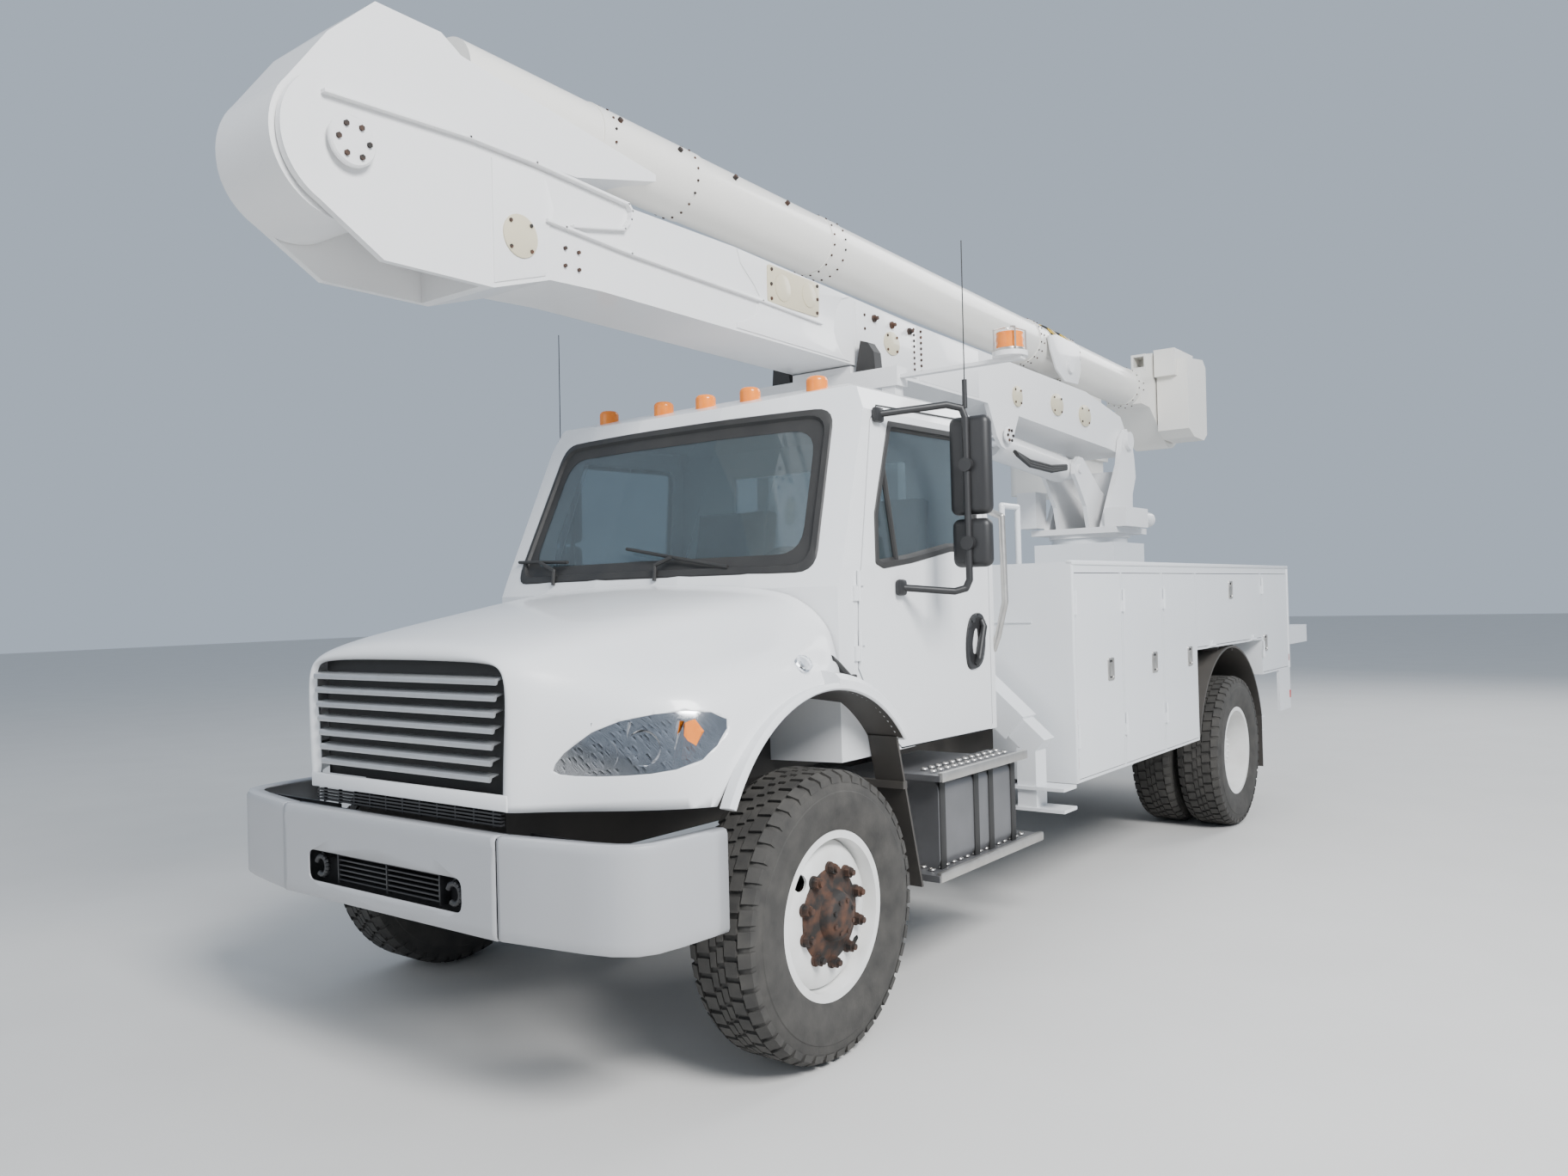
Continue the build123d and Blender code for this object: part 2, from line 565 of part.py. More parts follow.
with BuildPart() as hood:
    add(hood_form(0, 0))
    add(hood_rear_cut(), mode=Mode.SUBTRACT)
    for side in (1, -1):
        with BuildSketch(Plane.YZ.offset(TAIL_IN if side > 0 else -TAIL_OUT)) as tail:
            with Locations((ARCH_Y, ARCH_Z)):
                Circle(FENDER_R)
                Circle(ARCH_R, mode=Mode.SUBTRACT)
            with Locations((ARCH_Y + 600, ARCH_Z + TAIL_LIFT + 200)):
                Rectangle(960, 400, mode=Mode.INTERSECT)
        extrude(tail.sketch, amount=TAIL_OUT - TAIL_IN)
    add(hood_form(HOOD_WALL, 60), mode=Mode.SUBTRACT)
    for side in (1, -1):
        rod((side * 1300, ARCH_Y, ARCH_Z), (side * 640, ARCH_Y, ARCH_Z), ARCH_R, Mode.SUBTRACT)
        slab(side * 338, side * 350, HOOD_PIVOT_Y - 20, HOOD_PIVOT_Y + 50, HOOD_PIVOT_Z - 25, 1010)
        rod((side * 330, HOOD_PIVOT_Y, HOOD_PIVOT_Z), (side * 352, HOOD_PIVOT_Y, HOOD_PIVOT_Z),
            HOOD_PIN_R + 0.1, Mode.SUBTRACT)
    with BuildSketch(Plane.XZ.offset(-station(300))) as mouth:
        with BuildLine():
            Polyline(*GRILLE_OUTLINE, close=True)
        make_face()
        offset(amount=SEAT)
    extrude(mouth.sketch, amount=400, mode=Mode.SUBTRACT)
    add(lamp_prism(SEAT, -50, 700), mode=Mode.SUBTRACT)
save(hood.part, "hood")

with BuildPart() as headlamps:
    add(hood_form(3, 0))
    add(hood_form(60, 0), mode=Mode.SUBTRACT)
    add(lamp_prism(0, -50, 700), mode=Mode.INTERSECT)
save(headlamps.part, "headlamps")

# Grille: a frame, seven slats and two columns of brackets
SLATS = 7
GRILLE_DEPTH = 45.0
with BuildPart() as grille:
    with BuildSketch(Plane.XZ.offset(-(GRILLE_FRONT + GRILLE_DEPTH))) as surround:
        with BuildLine():
            Polyline(*GRILLE_OUTLINE, close=True)
        make_face()
        offset(amount=-38, mode=Mode.SUBTRACT)
    extrude(surround.sketch, amount=GRILLE_DEPTH)
    low = 1035
    high = 1462
    for row in range(SLATS):
        z = low + (high - low) * (row + 1) / (SLATS + 1)
        half = 500 + 60 * (z - low) / (high - low) - 20
        slab(-half, half, GRILLE_FRONT + 10, GRILLE_FRONT + 40, z - 13, z + 9)
    for x in (-255, 255):
        slab(x - 14, x + 14, GRILLE_FRONT + 14, GRILLE_FRONT + 44, low + 20, high - 20)
save(grille.part, "grille")

# Service body: a hollow locker box down each side; columns of the door table:
# name, first and last station, low and high Z, hinged edge
LOCKERS = [
    ("1", 3175, 3802, 708, 1746, "front"),
    ("2", 3830, 4452, 708, 1746, "front"),
    ("3", 4480, 5077, 708, 1746, "front"),
    ("4", 5105, 6587, 1280, 1746, "bottom"),
    ("5", 6615, 7340, 1022, 1746, "front"),
]
LOCKER_STEPS = [(3141, 5089, BODY_BOTTOM), (5089, 6601, 1262), (6601, 7380, 1004)]
LIP = 15.0
DOOR_REST = 5.0
HINGE_PAIRS = (0.15, 0.8)
SKIRT = (7060, 7380, 690, 1004)


def locker_side(side):
    """One side's boxes with their door openings cut and the posts' hinge halves."""
    with BuildPart() as box:
        for first, last, low in LOCKER_STEPS:
            slab(side * LOCKER_INNER, side * BODY_HALF, station(first), station(last), low, BODY_TOP)
        slab(side * (BODY_HALF - LOCKER_WALL), side * BODY_HALF, station(SKIRT[0]), station(SKIRT[1]),
             SKIRT[2], SKIRT[3])
        for name, first, last, low, high, hinged in LOCKERS:
            face = side * (BODY_HALF - DOOR_T - DOOR_REST)
            slab(face, side * (BODY_HALF + 1), station(first) - GAP / 2, station(last) + GAP / 2,
                 low - GAP / 2, high + GAP / 2, Mode.SUBTRACT)
            slab(side * (LOCKER_INNER + LOCKER_WALL), face + side, station(first) + LIP,
                 station(last) - LIP, low + LIP, high - LIP, Mode.SUBTRACT)
        for name, first, last, low, high, hinged in LOCKERS:
            for share in HINGE_PAIRS:
                if hinged == "front":
                    z = low + share * (high - low)
                    hinge_half(side * BODY_HALF, station(first) - GAP / 2, z, -14, side)
                else:
                    y = station(first) + share * (last - first)
                    lid_hinge_half(side * BODY_HALF, y, low - GAP / 2, -8, side)
    return box.part


def lid_hinge_half(face_x, y, z, reach, side):
    """One half of a flip-down door's hinge, its barrel lying along Y."""
    x = face_x + side * HINGE_OUT
    rod((x, y, z), (x, y + HINGE_LENGTH, z), HINGE_R)
    slab(face_x, x, y, y + HINGE_LENGTH, z, z + reach)


for name, side in (("left", 1), ("right", -1)):
    save(locker_side(side), "body_" + name)
    for door_name, first, last, low, high, hinged in LOCKERS:
        with BuildPart() as door:
            outer = side * BODY_HALF
            slab(outer - side * DOOR_T, outer, station(first), station(last), low, high)
            for share in HINGE_PAIRS:
                if hinged == "front":
                    z = low + share * (high - low) + HINGE_LENGTH + SEAT
                    hinge_half(outer, station(first) - GAP / 2, z, 30, side)
                else:
                    y = station(first) + share * (last - first) + HINGE_LENGTH + SEAT
                    lid_hinge_half(outer, y, low - GAP / 2, 30, side)
        save(door.part, "door_" + name + "_" + door_name)

# Subframe: torsion box, pedestal and the four outrigger housings
PEDESTAL_HALF = 320.0
PEDESTAL_TOP = 2020.0
BEARING_R = 290.0
BEARING_TOP = 2062.0
SUB_FRONT = station(2880)
SUB_REAR = station(7620)
SUB_TOP = BED_Z - 30
LEG_SQUARE = 120.0
SLEEVE_SQUARE = 150.0
SLEEVE_BORE = LEG_SQUARE + 2 * SEAT
# columns: name, station, top and bottom ends of the sleeve as (X, Z), leg length in the sleeve,
# height of the foot's sole when raised
LEGS = [
    ("front", 2960, (150, 1742), (1010, 987), 1010, 585),
    ("rear", 6830, (170, 1568), (900, 728), 1040, 555),
]
FOOT_HALF = 140.0
FOOT_H = 120.0
FOOT_PLATE = 16.0


def leg_line(top, bottom, side, distance):
    """The sleeve's ends and its unit direction, down and outwards."""
    a = Vector(side * top[0], station(distance), top[1])
    b = Vector(side * bottom[0], station(distance), bottom[1])
    return a, b, (b - a).normalized()


with BuildPart() as subframe:
    slab(-RAIL_X, RAIL_X, SUB_FRONT, SUB_REAR, RAIL_TOP, SUB_TOP)
    slab(-PEDESTAL_HALF, PEDESTAL_HALF, TURRET_Y - PEDESTAL_HALF, TURRET_Y + PEDESTAL_HALF, SUB_TOP, PEDESTAL_TOP)
    with Locations((0, TURRET_Y, (PEDESTAL_TOP + BEARING_TOP) / 2)):
        Cylinder(BEARING_R, BEARING_TOP - PEDESTAL_TOP)
    for name, distance, top, bottom, inside, sole in LEGS:
        for side in (1, -1):
            a, b, way = leg_line(top, bottom, side, distance)
            beam(tuple(a), tuple(b), SLEEVE_SQUARE, SLEEVE_SQUARE)
    for name, distance, top, bottom, inside, sole in LEGS:
        y = station(distance)
        slab(-top[0] - 50, top[0] + 50, y - 75, y + 75, SUB_TOP - 1, top[1])
        slab(-560, 560, y - 75, y + 75, RAIL_TOP, 1180)
    for name, distance, top, bottom, inside, sole in LEGS:
        for side in (1, -1):
            a, b, way = leg_line(top, bottom, side, distance)
            beam(tuple(b - way * (inside + 40)), tuple(b + way * 10), SLEEVE_BORE, SLEEVE_BORE, Mode.SUBTRACT)
save(subframe.part, "subframe")

for name, distance, top, bottom, inside, sole in LEGS:
    for hand, side in (("left", 1), ("right", -1)):
        a, b, way = leg_line(top, bottom, side, distance)
        with BuildPart() as leg:
            foot = b + way * 150
            beam(tuple(b - way * inside), tuple(foot), LEG_SQUARE, LEG_SQUARE)
            slab(foot.X - side * 110, foot.X - side * 10, station(distance) - 60, station(distance) + 60,
                 sole + 10, foot.Z)
            for low in (sole, sole + FOOT_H - FOOT_PLATE):
                slab(foot.X - FOOT_HALF, foot.X + FOOT_HALF, station(distance) - 75, station(distance) + 75,
                     low, low + FOOT_PLATE)
        save(leg.part, "leg_" + name + "_" + hand)

# Bed: floor between the lockers, headboard and the step shelf across the tail
BED_PLATE = 30.0
TAIL_REAR = station(7960)
TAIL_LOW = 1190.0
TAIL_HIGH = 1330.0
with BuildPart() as bed:
    reach = LOCKER_INNER
    slab(-reach, reach, BODY_FRONT, BODY_REAR, BED_Z - BED_PLATE, BED_Z)
    slab(-reach, reach, BODY_FRONT, BODY_FRONT + 25, BED_Z - 1, 1500)
    slab(-reach, reach, BODY_REAR - 25, BODY_REAR, BED_Z - 1, 1400)
    hole = PEDESTAL_HALF + SEAT
    slab(-hole, hole, TURRET_Y - hole, TURRET_Y + hole, BED_Z - 60, BED_Z + 20, Mode.SUBTRACT)
    hole = station(6830)
    slab(-690, 690, hole - 75 - SEAT, hole + 75 + SEAT, BED_Z - 60, BED_Z + 20, Mode.SUBTRACT)
    slab(-BODY_HALF, BODY_HALF, BODY_REAR, TAIL_REAR, TAIL_HIGH - 30, TAIL_HIGH)
    slab(-BODY_HALF, BODY_HALF, TAIL_REAR - 25, TAIL_REAR, TAIL_LOW, TAIL_HIGH - 29)
    for side in (1, -1):
        slab(side * BODY_HALF, side * (BODY_HALF - 25), BODY_REAR, TAIL_REAR, TAIL_LOW, TAIL_HIGH - 29)
        slab(side * 760, side * 1190, BODY_REAR, station(7470), 1010, TAIL_LOW + 111)
        slab(side * 380, side * 420, BODY_REAR, SUB_REAR, SUB_TOP, TAIL_HIGH - 29)
save(bed.part, "bed")

# Rubber fenders over the rear wheels, with their mud flaps
FLARE_Y = station(5841)
FLARE_Z = 502.5
FLARE_R = 751.5
FLARE_T = 14.0
FLARE_IN = LOCKER_INNER + 2      # the rubber lies within the locker's two faces
FLARE_OUT = BODY_HALF - 7
FLARE_ROOM = LOCKER_STEPS[1][2]  # under side of the locker over the wheels
GUARD_IN = 1016.0
GUARD_OUT = 1150.0
with BuildPart() as fenders:
    for side in (1, -1):
        inner_x = FLARE_IN if side > 0 else -FLARE_OUT
        with BuildSketch(Plane.YZ.offset(inner_x)) as arch:
            with Locations((FLARE_Y, FLARE_Z)):
                Circle(FLARE_R)
                Circle(FLARE_R - FLARE_T, mode=Mode.SUBTRACT)
            with Locations((FLARE_Y, FLARE_Z + 700)):
                Rectangle(2200, 1000, mode=Mode.INTERSECT)
        extrude(arch.sketch, amount=FLARE_OUT - FLARE_IN)
        slab(side * FLARE_IN, side * FLARE_OUT, FLARE_Y + FLARE_R - 42, FLARE_Y + FLARE_R - 30, 330, FLARE_Z + 215)
        for back in (-200, 120):
            slab(side * (FLARE_IN + 36), side * (FLARE_OUT - 32), FLARE_Y + back, FLARE_Y + back + 40,
                 FLARE_Z + FLARE_R - 40, FLARE_ROOM)
        # splash guard behind the front wheel, on a strut from the rail
        extrude(side_face([(station(1556), 1100), (station(1568), 1100), (station(1738), 470),
                           (station(1726), 470)], GUARD_IN if side > 0 else -GUARD_OUT),
                amount=GUARD_OUT - GUARD_IN)
        slab(side * RAIL_X, side * GUARD_OUT, station(1600), station(1630), 885, 915)
save(fenders.part, "fenders")

# Boom rest behind the cab: two posts, a crossbar and a pad, with two rubber horns beside the boom
REST_Y = station(2790)
REST_PAD_TOP = 2878.0
REST_BAR_TOP = 2840.0
with BuildPart() as boom_rest:
    for side in (1, -1):
        slab(side * 380, side * 460, REST_Y - 40, REST_Y + 40, RAIL_TOP, REST_BAR_TOP - 99)
        slab(side * 440, side * 1160, REST_Y - 22, REST_Y + 22, REST_BAR_TOP - 60, REST_BAR_TOP - 42)
    slab(-480, 480, REST_Y - 50, REST_Y + 50, REST_BAR_TOP - 100, REST_BAR_TOP)
    slab(-190, 190, REST_Y - 45, REST_Y + 45, REST_BAR_TOP, REST_PAD_TOP)
    with Locations((1090, REST_Y, REST_BAR_TOP - 30)):
        Cylinder(85, 24)
    with Locations((1090, REST_Y, REST_BAR_TOP + 30)):
        Cylinder(62, 100)
    slab(-1160, -700, REST_Y - 23, REST_Y + 23, REST_BAR_TOP - 61, REST_BAR_TOP - 41, Mode.SUBTRACT)
save(boom_rest.part, "boom_rest")

with BuildPart() as rest_horns:
    for side in (1, -1):
        foot = REST_BAR_TOP + SEAT
        extrude(front_face([(side * 215, foot), (side * 340, foot), (side * 332, foot + 95),
                            (side * 296, foot + 150), (side * 250, foot + 165)], REST_Y + 35), amount=70)
save(rest_horns.part, "rest_horns")

# Fuel tank with its steps on the left, battery box with its steps on the right
TANK_FRONT = station(1890)
TANK_REAR = station(2600)
for name, side in (("fuel_tank", 1), ("battery_box", -1)):
    with BuildPart() as tank:
        with BuildSketch(Plane.XZ.offset(-TANK_REAR)) as section:
            with Locations((side * 860, 690)):
                RectangleRounded(560, 400, 60 if side > 0 else 15)
        extrude(section.sketch, amount=TANK_REAR - TANK_FRONT)
        slab(side * RAIL_X, side * 590, TANK_FRONT + 100, TANK_FRONT + 160, 770, 880)
        slab(side * RAIL_X, side * 590, TANK_REAR - 160, TANK_REAR - 100, 770, 880)
        slab(side * 990, side * 1190, station(1820), station(2640), 885, 910)
        slab(side * 1000, side * 1195, station(1790), station(2790), 478, 505)
    save(tank.part, name)

# Turret: base plate, two outer arms for the boom's pivot and two inner plates for the lift cylinder
ARM_T = 40.0
ARM_IN = BOOM_HALF + MOVE
FOOT_IN = 105.0
FOOT_T = 30.0
PIVOT_PIN_R = 45.0
LIFT_PIN_R = 32.0
TURRET_BASE = BEARING_TOP + SEAT
TURRET_PLATE_TOP = 2137.0


def stations(points):
    return [(station(distance), z) for distance, z in points]


with BuildPart() as turret:
    slab(-340, 340, TURRET_Y - 330, TURRET_Y + 330, TURRET_BASE + 30, TURRET_PLATE_TOP)
    with Locations((0, TURRET_Y, TURRET_BASE + 20)):
        Cylinder(BEARING_R + 20, 40)
    for side in (1, -1):
        x0 = side * ARM_IN if side > 0 else -ARM_IN - ARM_T
        extrude(side_face(stations([(6070, 2136), (6660, 2136), (6680, 2420), (6760, 2560), (6740, 2700),
                                    (6700, 2835), (6590, 2930), (6480, 2835), (6420, 2640), (6200, 2330)]), x0),
                amount=ARM_T)
        x0 = side * FOOT_IN if side > 0 else -FOOT_IN - FOOT_T
        extrude(side_face(stations([(6050, 2136), (6640, 2136), (6640, 2300), (6300, 2430), (5960, 2660),
                                    (5884, 2665), (5800, 2610), (5795, 2530), (5880, 2440), (6000, 2300)]), x0),
                amount=FOOT_T)
        rod((side * (ARM_IN - 5), BOOM_PIVOT_Y, BOOM_PIVOT_Z), (side * 275, BOOM_PIVOT_Y, BOOM_PIVOT_Z), 70)
    slab(-ARM_IN - 1, ARM_IN + 1, station(6560), station(6600), 2136, 2600)
    rod((-275, BOOM_PIVOT_Y, BOOM_PIVOT_Z), (275, BOOM_PIVOT_Y, BOOM_PIVOT_Z), PIVOT_PIN_R)
    rod((-150, LIFT_FOOT_Y, LIFT_FOOT_Z), (150, LIFT_FOOT_Y, LIFT_FOOT_Z), LIFT_PIN_R)
    slab(250, 420, station(6060), station(6520), TURRET_PLATE_TOP - 1, 2280)
    rod((335, station(6519), 2210), (335, station(6760), 2210), 58)
    slab(-400, -244, station(5930), station(6120), 2150, 2430)
save(turret.part, "turret")

# Lift cylinder: a barrel on the turret's plates and a rod up to the lower boom's lugs
BARREL_R = 100.0
ROD_R = 52.0
lift_way = Vector(0, LIFT_EYE_Y - LIFT_FOOT_Y, LIFT_EYE_Z - LIFT_FOOT_Z)
LIFT_LENGTH = lift_way.length
lift_way = lift_way.normalized()
lift_foot = Vector(0, LIFT_FOOT_Y, LIFT_FOOT_Z)
BARREL_END = 1215.0
with BuildPart() as lift_barrel:
    rod(tuple(lift_foot + lift_way * 60), tuple(lift_foot + lift_way * BARREL_END), BARREL_R)
    rod((-98, LIFT_FOOT_Y, LIFT_FOOT_Z), (98, LIFT_FOOT_Y, LIFT_FOOT_Z), 75)
    rod((-101, LIFT_FOOT_Y, LIFT_FOOT_Z), (101, LIFT_FOOT_Y, LIFT_FOOT_Z), LIFT_PIN_R + 0.05, Mode.SUBTRACT)
    rod(tuple(lift_foot + lift_way * 130), tuple(lift_foot + lift_way * (BARREL_END + 1)), ROD_R + SEAT,
        Mode.SUBTRACT)
save(lift_barrel.part, "lift_barrel")

EYE_PIN_R = 32.0
CROSSHEAD_HALF = BOOM_HALF - BOOM_PLATE - MOVE
with BuildPart() as lift_rod:
    rod(tuple(lift_foot + lift_way * 150), tuple(lift_foot + lift_way * LIFT_LENGTH), ROD_R)
    rod((-CROSSHEAD_HALF, LIFT_EYE_Y, LIFT_EYE_Z), (CROSSHEAD_HALF, LIFT_EYE_Y, LIFT_EYE_Z), 62)
save(lift_rod.part, "lift_rod")

# Lower boom: a box girder with lugs for the lift cylinder and open side plates at the elbow
ELBOW_R = 232.0
ELBOW_PIN_R = 60.0
WRAP_R = 250.0
with BuildPart() as lower_boom:
    girder = [(350, 3328), (1140, 3296), (1790, 3290), (3418, 3211), (5893, 3144), (6582, 3030), (6700, 2900),
              (6710, 2800), (6640, 2720), (6350, 2753), (4800, 2830), (4300, 2868), (2954, 2883), (938, 2915),
              (666, 2905), (396, 2822), (350, 2822)]
    extrude(side_face(stations(girder), -BOOM_HALF), amount=2 * BOOM_HALF)
    for side in (1, -1):
        inner = BOOM_HALF - BOOM_PLATE
        x0 = side * inner if side > 0 else -BOOM_HALF
        extrude(side_face(stations([(351, 3328), (-187, ELBOW_Z + ELBOW_R - 1), (-187, ELBOW_Z), (-322, 2988),
                                    (-60, 2822), (351, 2822)]), x0), amount=BOOM_PLATE)
        lug = [(-250, 2900), (250, 2900), (110, LIFT_EYE_Z - 20), (60, LIFT_EYE_Z - 68), (0, LIFT_EYE_Z - 85),
               (-60, LIFT_EYE_Z - 68), (-110, LIFT_EYE_Z - 20)]
        extrude(side_face([(LIFT_EYE_Y + along, z) for along, z in lug], x0), amount=BOOM_PLATE)
        rod((side * inner, LIFT_EYE_Y, LIFT_EYE_Z), (side * (BOOM_HALF + 20), LIFT_EYE_Y, LIFT_EYE_Z), EYE_PIN_R)
        rod((side * inner, ELBOW_Y, ELBOW_Z), (side * BOOM_HALF, ELBOW_Y, ELBOW_Z), ELBOW_R)
    rod((-BOOM_HALF - 30, ELBOW_Y, ELBOW_Z), (BOOM_HALF + 30, ELBOW_Y, ELBOW_Z), ELBOW_PIN_R)
    rod((-BOOM_HALF - 1, BOOM_PIVOT_Y, BOOM_PIVOT_Z), (BOOM_HALF + 1, BOOM_PIVOT_Y, BOOM_PIVOT_Z),
        PIVOT_PIN_R + 0.05, Mode.SUBTRACT)
save(lower_boom.part, "lower_boom")

# Upper boom: steel housing at the elbow, then the tube with its tip casting
tube_start = (0, TUBE_START_Y, TUBE_START_Z)
tube_end = (0, TUBE_END_Y, TUBE_END_Z)
with BuildPart() as upper_housing:
    outline = [(-50, 3708), (215, 3703), (300, 3650), (1310, 3500), (1310, 3470), (850, 3360), (339, 3356),
               (60, 3300), (30, 3240), (-187, ELBOW_Z), (-434, 3210), (-405, 3300), (-229, 3540)]
    extrude(side_face(stations(outline), -HOUSING_HALF), amount=2 * HOUSING_HALF)
    rod((-HOUSING_HALF, ELBOW_Y, ELBOW_Z), (HOUSING_HALF, ELBOW_Y, ELBOW_Z), WRAP_R)
    rod((-HOUSING_HALF - 1, ELBOW_Y, ELBOW_Z), (HOUSING_HALF + 1, ELBOW_Y, ELBOW_Z), ELBOW_PIN_R + 0.05,
        Mode.SUBTRACT)
    rod(tube_start, tube_end, TUBE_R + SEAT, Mode.SUBTRACT)
save(upper_housing.part, "upper_housing")

TIP_HALF = 150.0
HEAD_IN = TUBE_R + 7
SHAFT_R = 50.0
with BuildPart() as upper_tube:
    rod(tube_start, tube_end, TUBE_R)
    extrude(side_face(stations([(7200, 3222), (7400, 3210), (7740, 2960), (8100, 3260), (7950, 3460),
                                (7700, 3505), (7200, 3512)]), -TIP_HALF), amount=2 * TIP_HALF)
    rod((-TIP_HALF, station(7900), 3140), (TIP_HALF, station(7900), 3140), 235)
    rod((-TIP_HALF - 1, TIP_Y, TIP_Z), (TIP_HALF + 1, TIP_Y, TIP_Z), SHAFT_R + 0.05, Mode.SUBTRACT)
    slab(20, TIP_HALF, station(7500), station(7880), 3440, 3690)
    slab(25, TIP_HALF, station(7330), station(7520), 3500, 3660)
    slab(45, 135, station(7329), station(7480), 3550, 3640, Mode.SUBTRACT)
save(upper_tube.part, "upper_tube")

# Levelling shaft through the tip, the head that turns on it, and the platform
with BuildPart() as level_shaft:
    rod((-470, TIP_Y, TIP_Z), (250, TIP_Y, TIP_Z), SHAFT_R)
save(level_shaft.part, "level_shaft")

with BuildPart() as tip_head:
    extrude(side_face(stations([(7560, 3020), (7700, 2960), (7960, 2950), (8050, 3010), (8060, 3600),
                                (7980, 3660), (7560, 3620)]), HEAD_IN), amount=265)
    slab(HEAD_IN, 340, station(7500), station(7990), 3480, 3710)
    rod((HEAD_IN - 1, TIP_Y, TIP_Z), (255, TIP_Y, TIP_Z), SHAFT_R + 0.05, Mode.SUBTRACT)
    rod((-TIP_HALF - MOVE, TIP_Y, TIP_Z), (-480, TIP_Y, TIP_Z), 85)
    rod((-TIP_HALF, TIP_Y, TIP_Z), (-475, TIP_Y, TIP_Z), SHAFT_R + 0.05, Mode.SUBTRACT)
    slab(-510, -479, station(7560), station(8040), 2850, 3330)
save(tip_head.part, "tip_head")

BUCKET_LOW = 2545.0
BUCKET_HIGH = 3610.0
BUCKET_WALL = 14.0
RIM_LIP = 16.0
BUCKET_X = (-1172.0, -510.3)
BUCKET_Y = (station(7360), station(8060))
with BuildPart() as bucket:
    middle = ((BUCKET_X[0] + BUCKET_X[1]) / 2, (BUCKET_Y[0] + BUCKET_Y[1]) / 2)
    width = BUCKET_X[1] - BUCKET_X[0]
    depth = BUCKET_Y[1] - BUCKET_Y[0]
    with BuildSketch(Plane.XY.offset(BUCKET_LOW)) as plan:
        with Locations(middle):
            RectangleRounded(width, depth, 80)
    extrude(plan.sketch, amount=BUCKET_HIGH - BUCKET_LOW)
    with BuildSketch(Plane.XY.offset(BUCKET_LOW + BUCKET_WALL)) as hollow:
        with Locations(middle):
            RectangleRounded(width - 2 * BUCKET_WALL, depth - 2 * BUCKET_WALL, 80 - BUCKET_WALL)
    extrude(hollow.sketch, amount=BUCKET_HIGH, mode=Mode.SUBTRACT)
    with BuildSketch(Plane.XY.offset(BUCKET_HIGH - 28)) as rim:
        with Locations(middle):
            RectangleRounded(width + 2 * RIM_LIP, depth + 2 * RIM_LIP, 80 + RIM_LIP)
            RectangleRounded(width - 2, depth - 2, 79, mode=Mode.SUBTRACT)
    extrude(rim.sketch, amount=28)
save(bucket.part, "bucket")
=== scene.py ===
from math import cos, pi, radians, sin

import bmesh
import bpy
from mathutils import Matrix, Vector


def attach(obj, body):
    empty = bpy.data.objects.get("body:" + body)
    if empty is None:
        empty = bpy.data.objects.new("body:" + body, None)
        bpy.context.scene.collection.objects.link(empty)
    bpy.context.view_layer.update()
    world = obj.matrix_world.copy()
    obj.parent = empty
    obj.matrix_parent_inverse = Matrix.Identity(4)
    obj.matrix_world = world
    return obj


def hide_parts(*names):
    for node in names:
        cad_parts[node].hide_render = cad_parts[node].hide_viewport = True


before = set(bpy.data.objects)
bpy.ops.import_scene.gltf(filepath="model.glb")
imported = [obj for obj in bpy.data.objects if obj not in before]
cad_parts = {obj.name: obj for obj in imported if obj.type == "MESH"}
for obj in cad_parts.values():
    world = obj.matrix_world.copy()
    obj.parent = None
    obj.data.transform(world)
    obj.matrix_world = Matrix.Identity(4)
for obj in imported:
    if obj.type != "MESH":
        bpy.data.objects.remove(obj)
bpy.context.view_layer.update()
HANDS = (("left", 1), ("right", -1))  # with the sign of X on that side

# The studio: a pale floor, a pale backdrop of sky and three large soft lights, with the
# camera where the photographer stood, at eye height off the driver's front corner.
BUMPER_Y = -3.850
EYE = Vector((3.5569, BUMPER_Y - 2.3229, 1.6545))
YAW, PITCH, ROLL = radians(37.19), radians(0.55), radians(-1.5)
right = Vector((cos(YAW), sin(YAW), 0))
ahead = Vector((-sin(YAW) * cos(PITCH), cos(YAW) * cos(PITCH), sin(PITCH)))
up = right.cross(ahead)
rolled_right = cos(ROLL) * right + sin(ROLL) * up
rolled_up = -sin(ROLL) * right + cos(ROLL) * up
camera_data = bpy.data.cameras.new("camera")
camera_data.lens = 26.39
camera_data.sensor_width = 36
camera_data.clip_end = 200
camera = bpy.data.objects.new("camera", camera_data)
camera.matrix_world = Matrix.Translation(EYE) @ Matrix((rolled_right, rolled_up, -ahead)).transposed().to_4x4()
bpy.context.collection.objects.link(camera)
bpy.context.scene.camera = camera

world = bpy.data.worlds.new("studio")
world.use_nodes = True
world.node_tree.nodes["Background"].inputs["Color"].default_value = (0.72, 0.84, 1.0, 1)
world.node_tree.nodes["Background"].inputs["Strength"].default_value = 0.62
bpy.context.scene.world = world
LIGHTS = [  # name, place, aimed at, size, power
    ("key", (9.0, -5.5, 8.5), (0.8, -1.5, 1.2), 4.0, 2300),
    ("fill", (-3.0, -12.0, 5.0), (0.0, -3.0, 1.4), 8.0, 260),
    ("back", (3.0, 11.0, 9.0), (0.0, 1.0, 1.8), 7.0, 900),
]
for name, place, target, size, power in LIGHTS:
    data = bpy.data.lights.new(name, "AREA")
    data.size = size
    data.energy = power
    lamp = bpy.data.objects.new(name, data)
    aim = Vector(target) - Vector(place)
    lamp.matrix_world = Matrix.Translation(place) @ aim.to_track_quat("-Z", "Y").to_matrix().to_4x4()
    bpy.context.collection.objects.link(lamp)


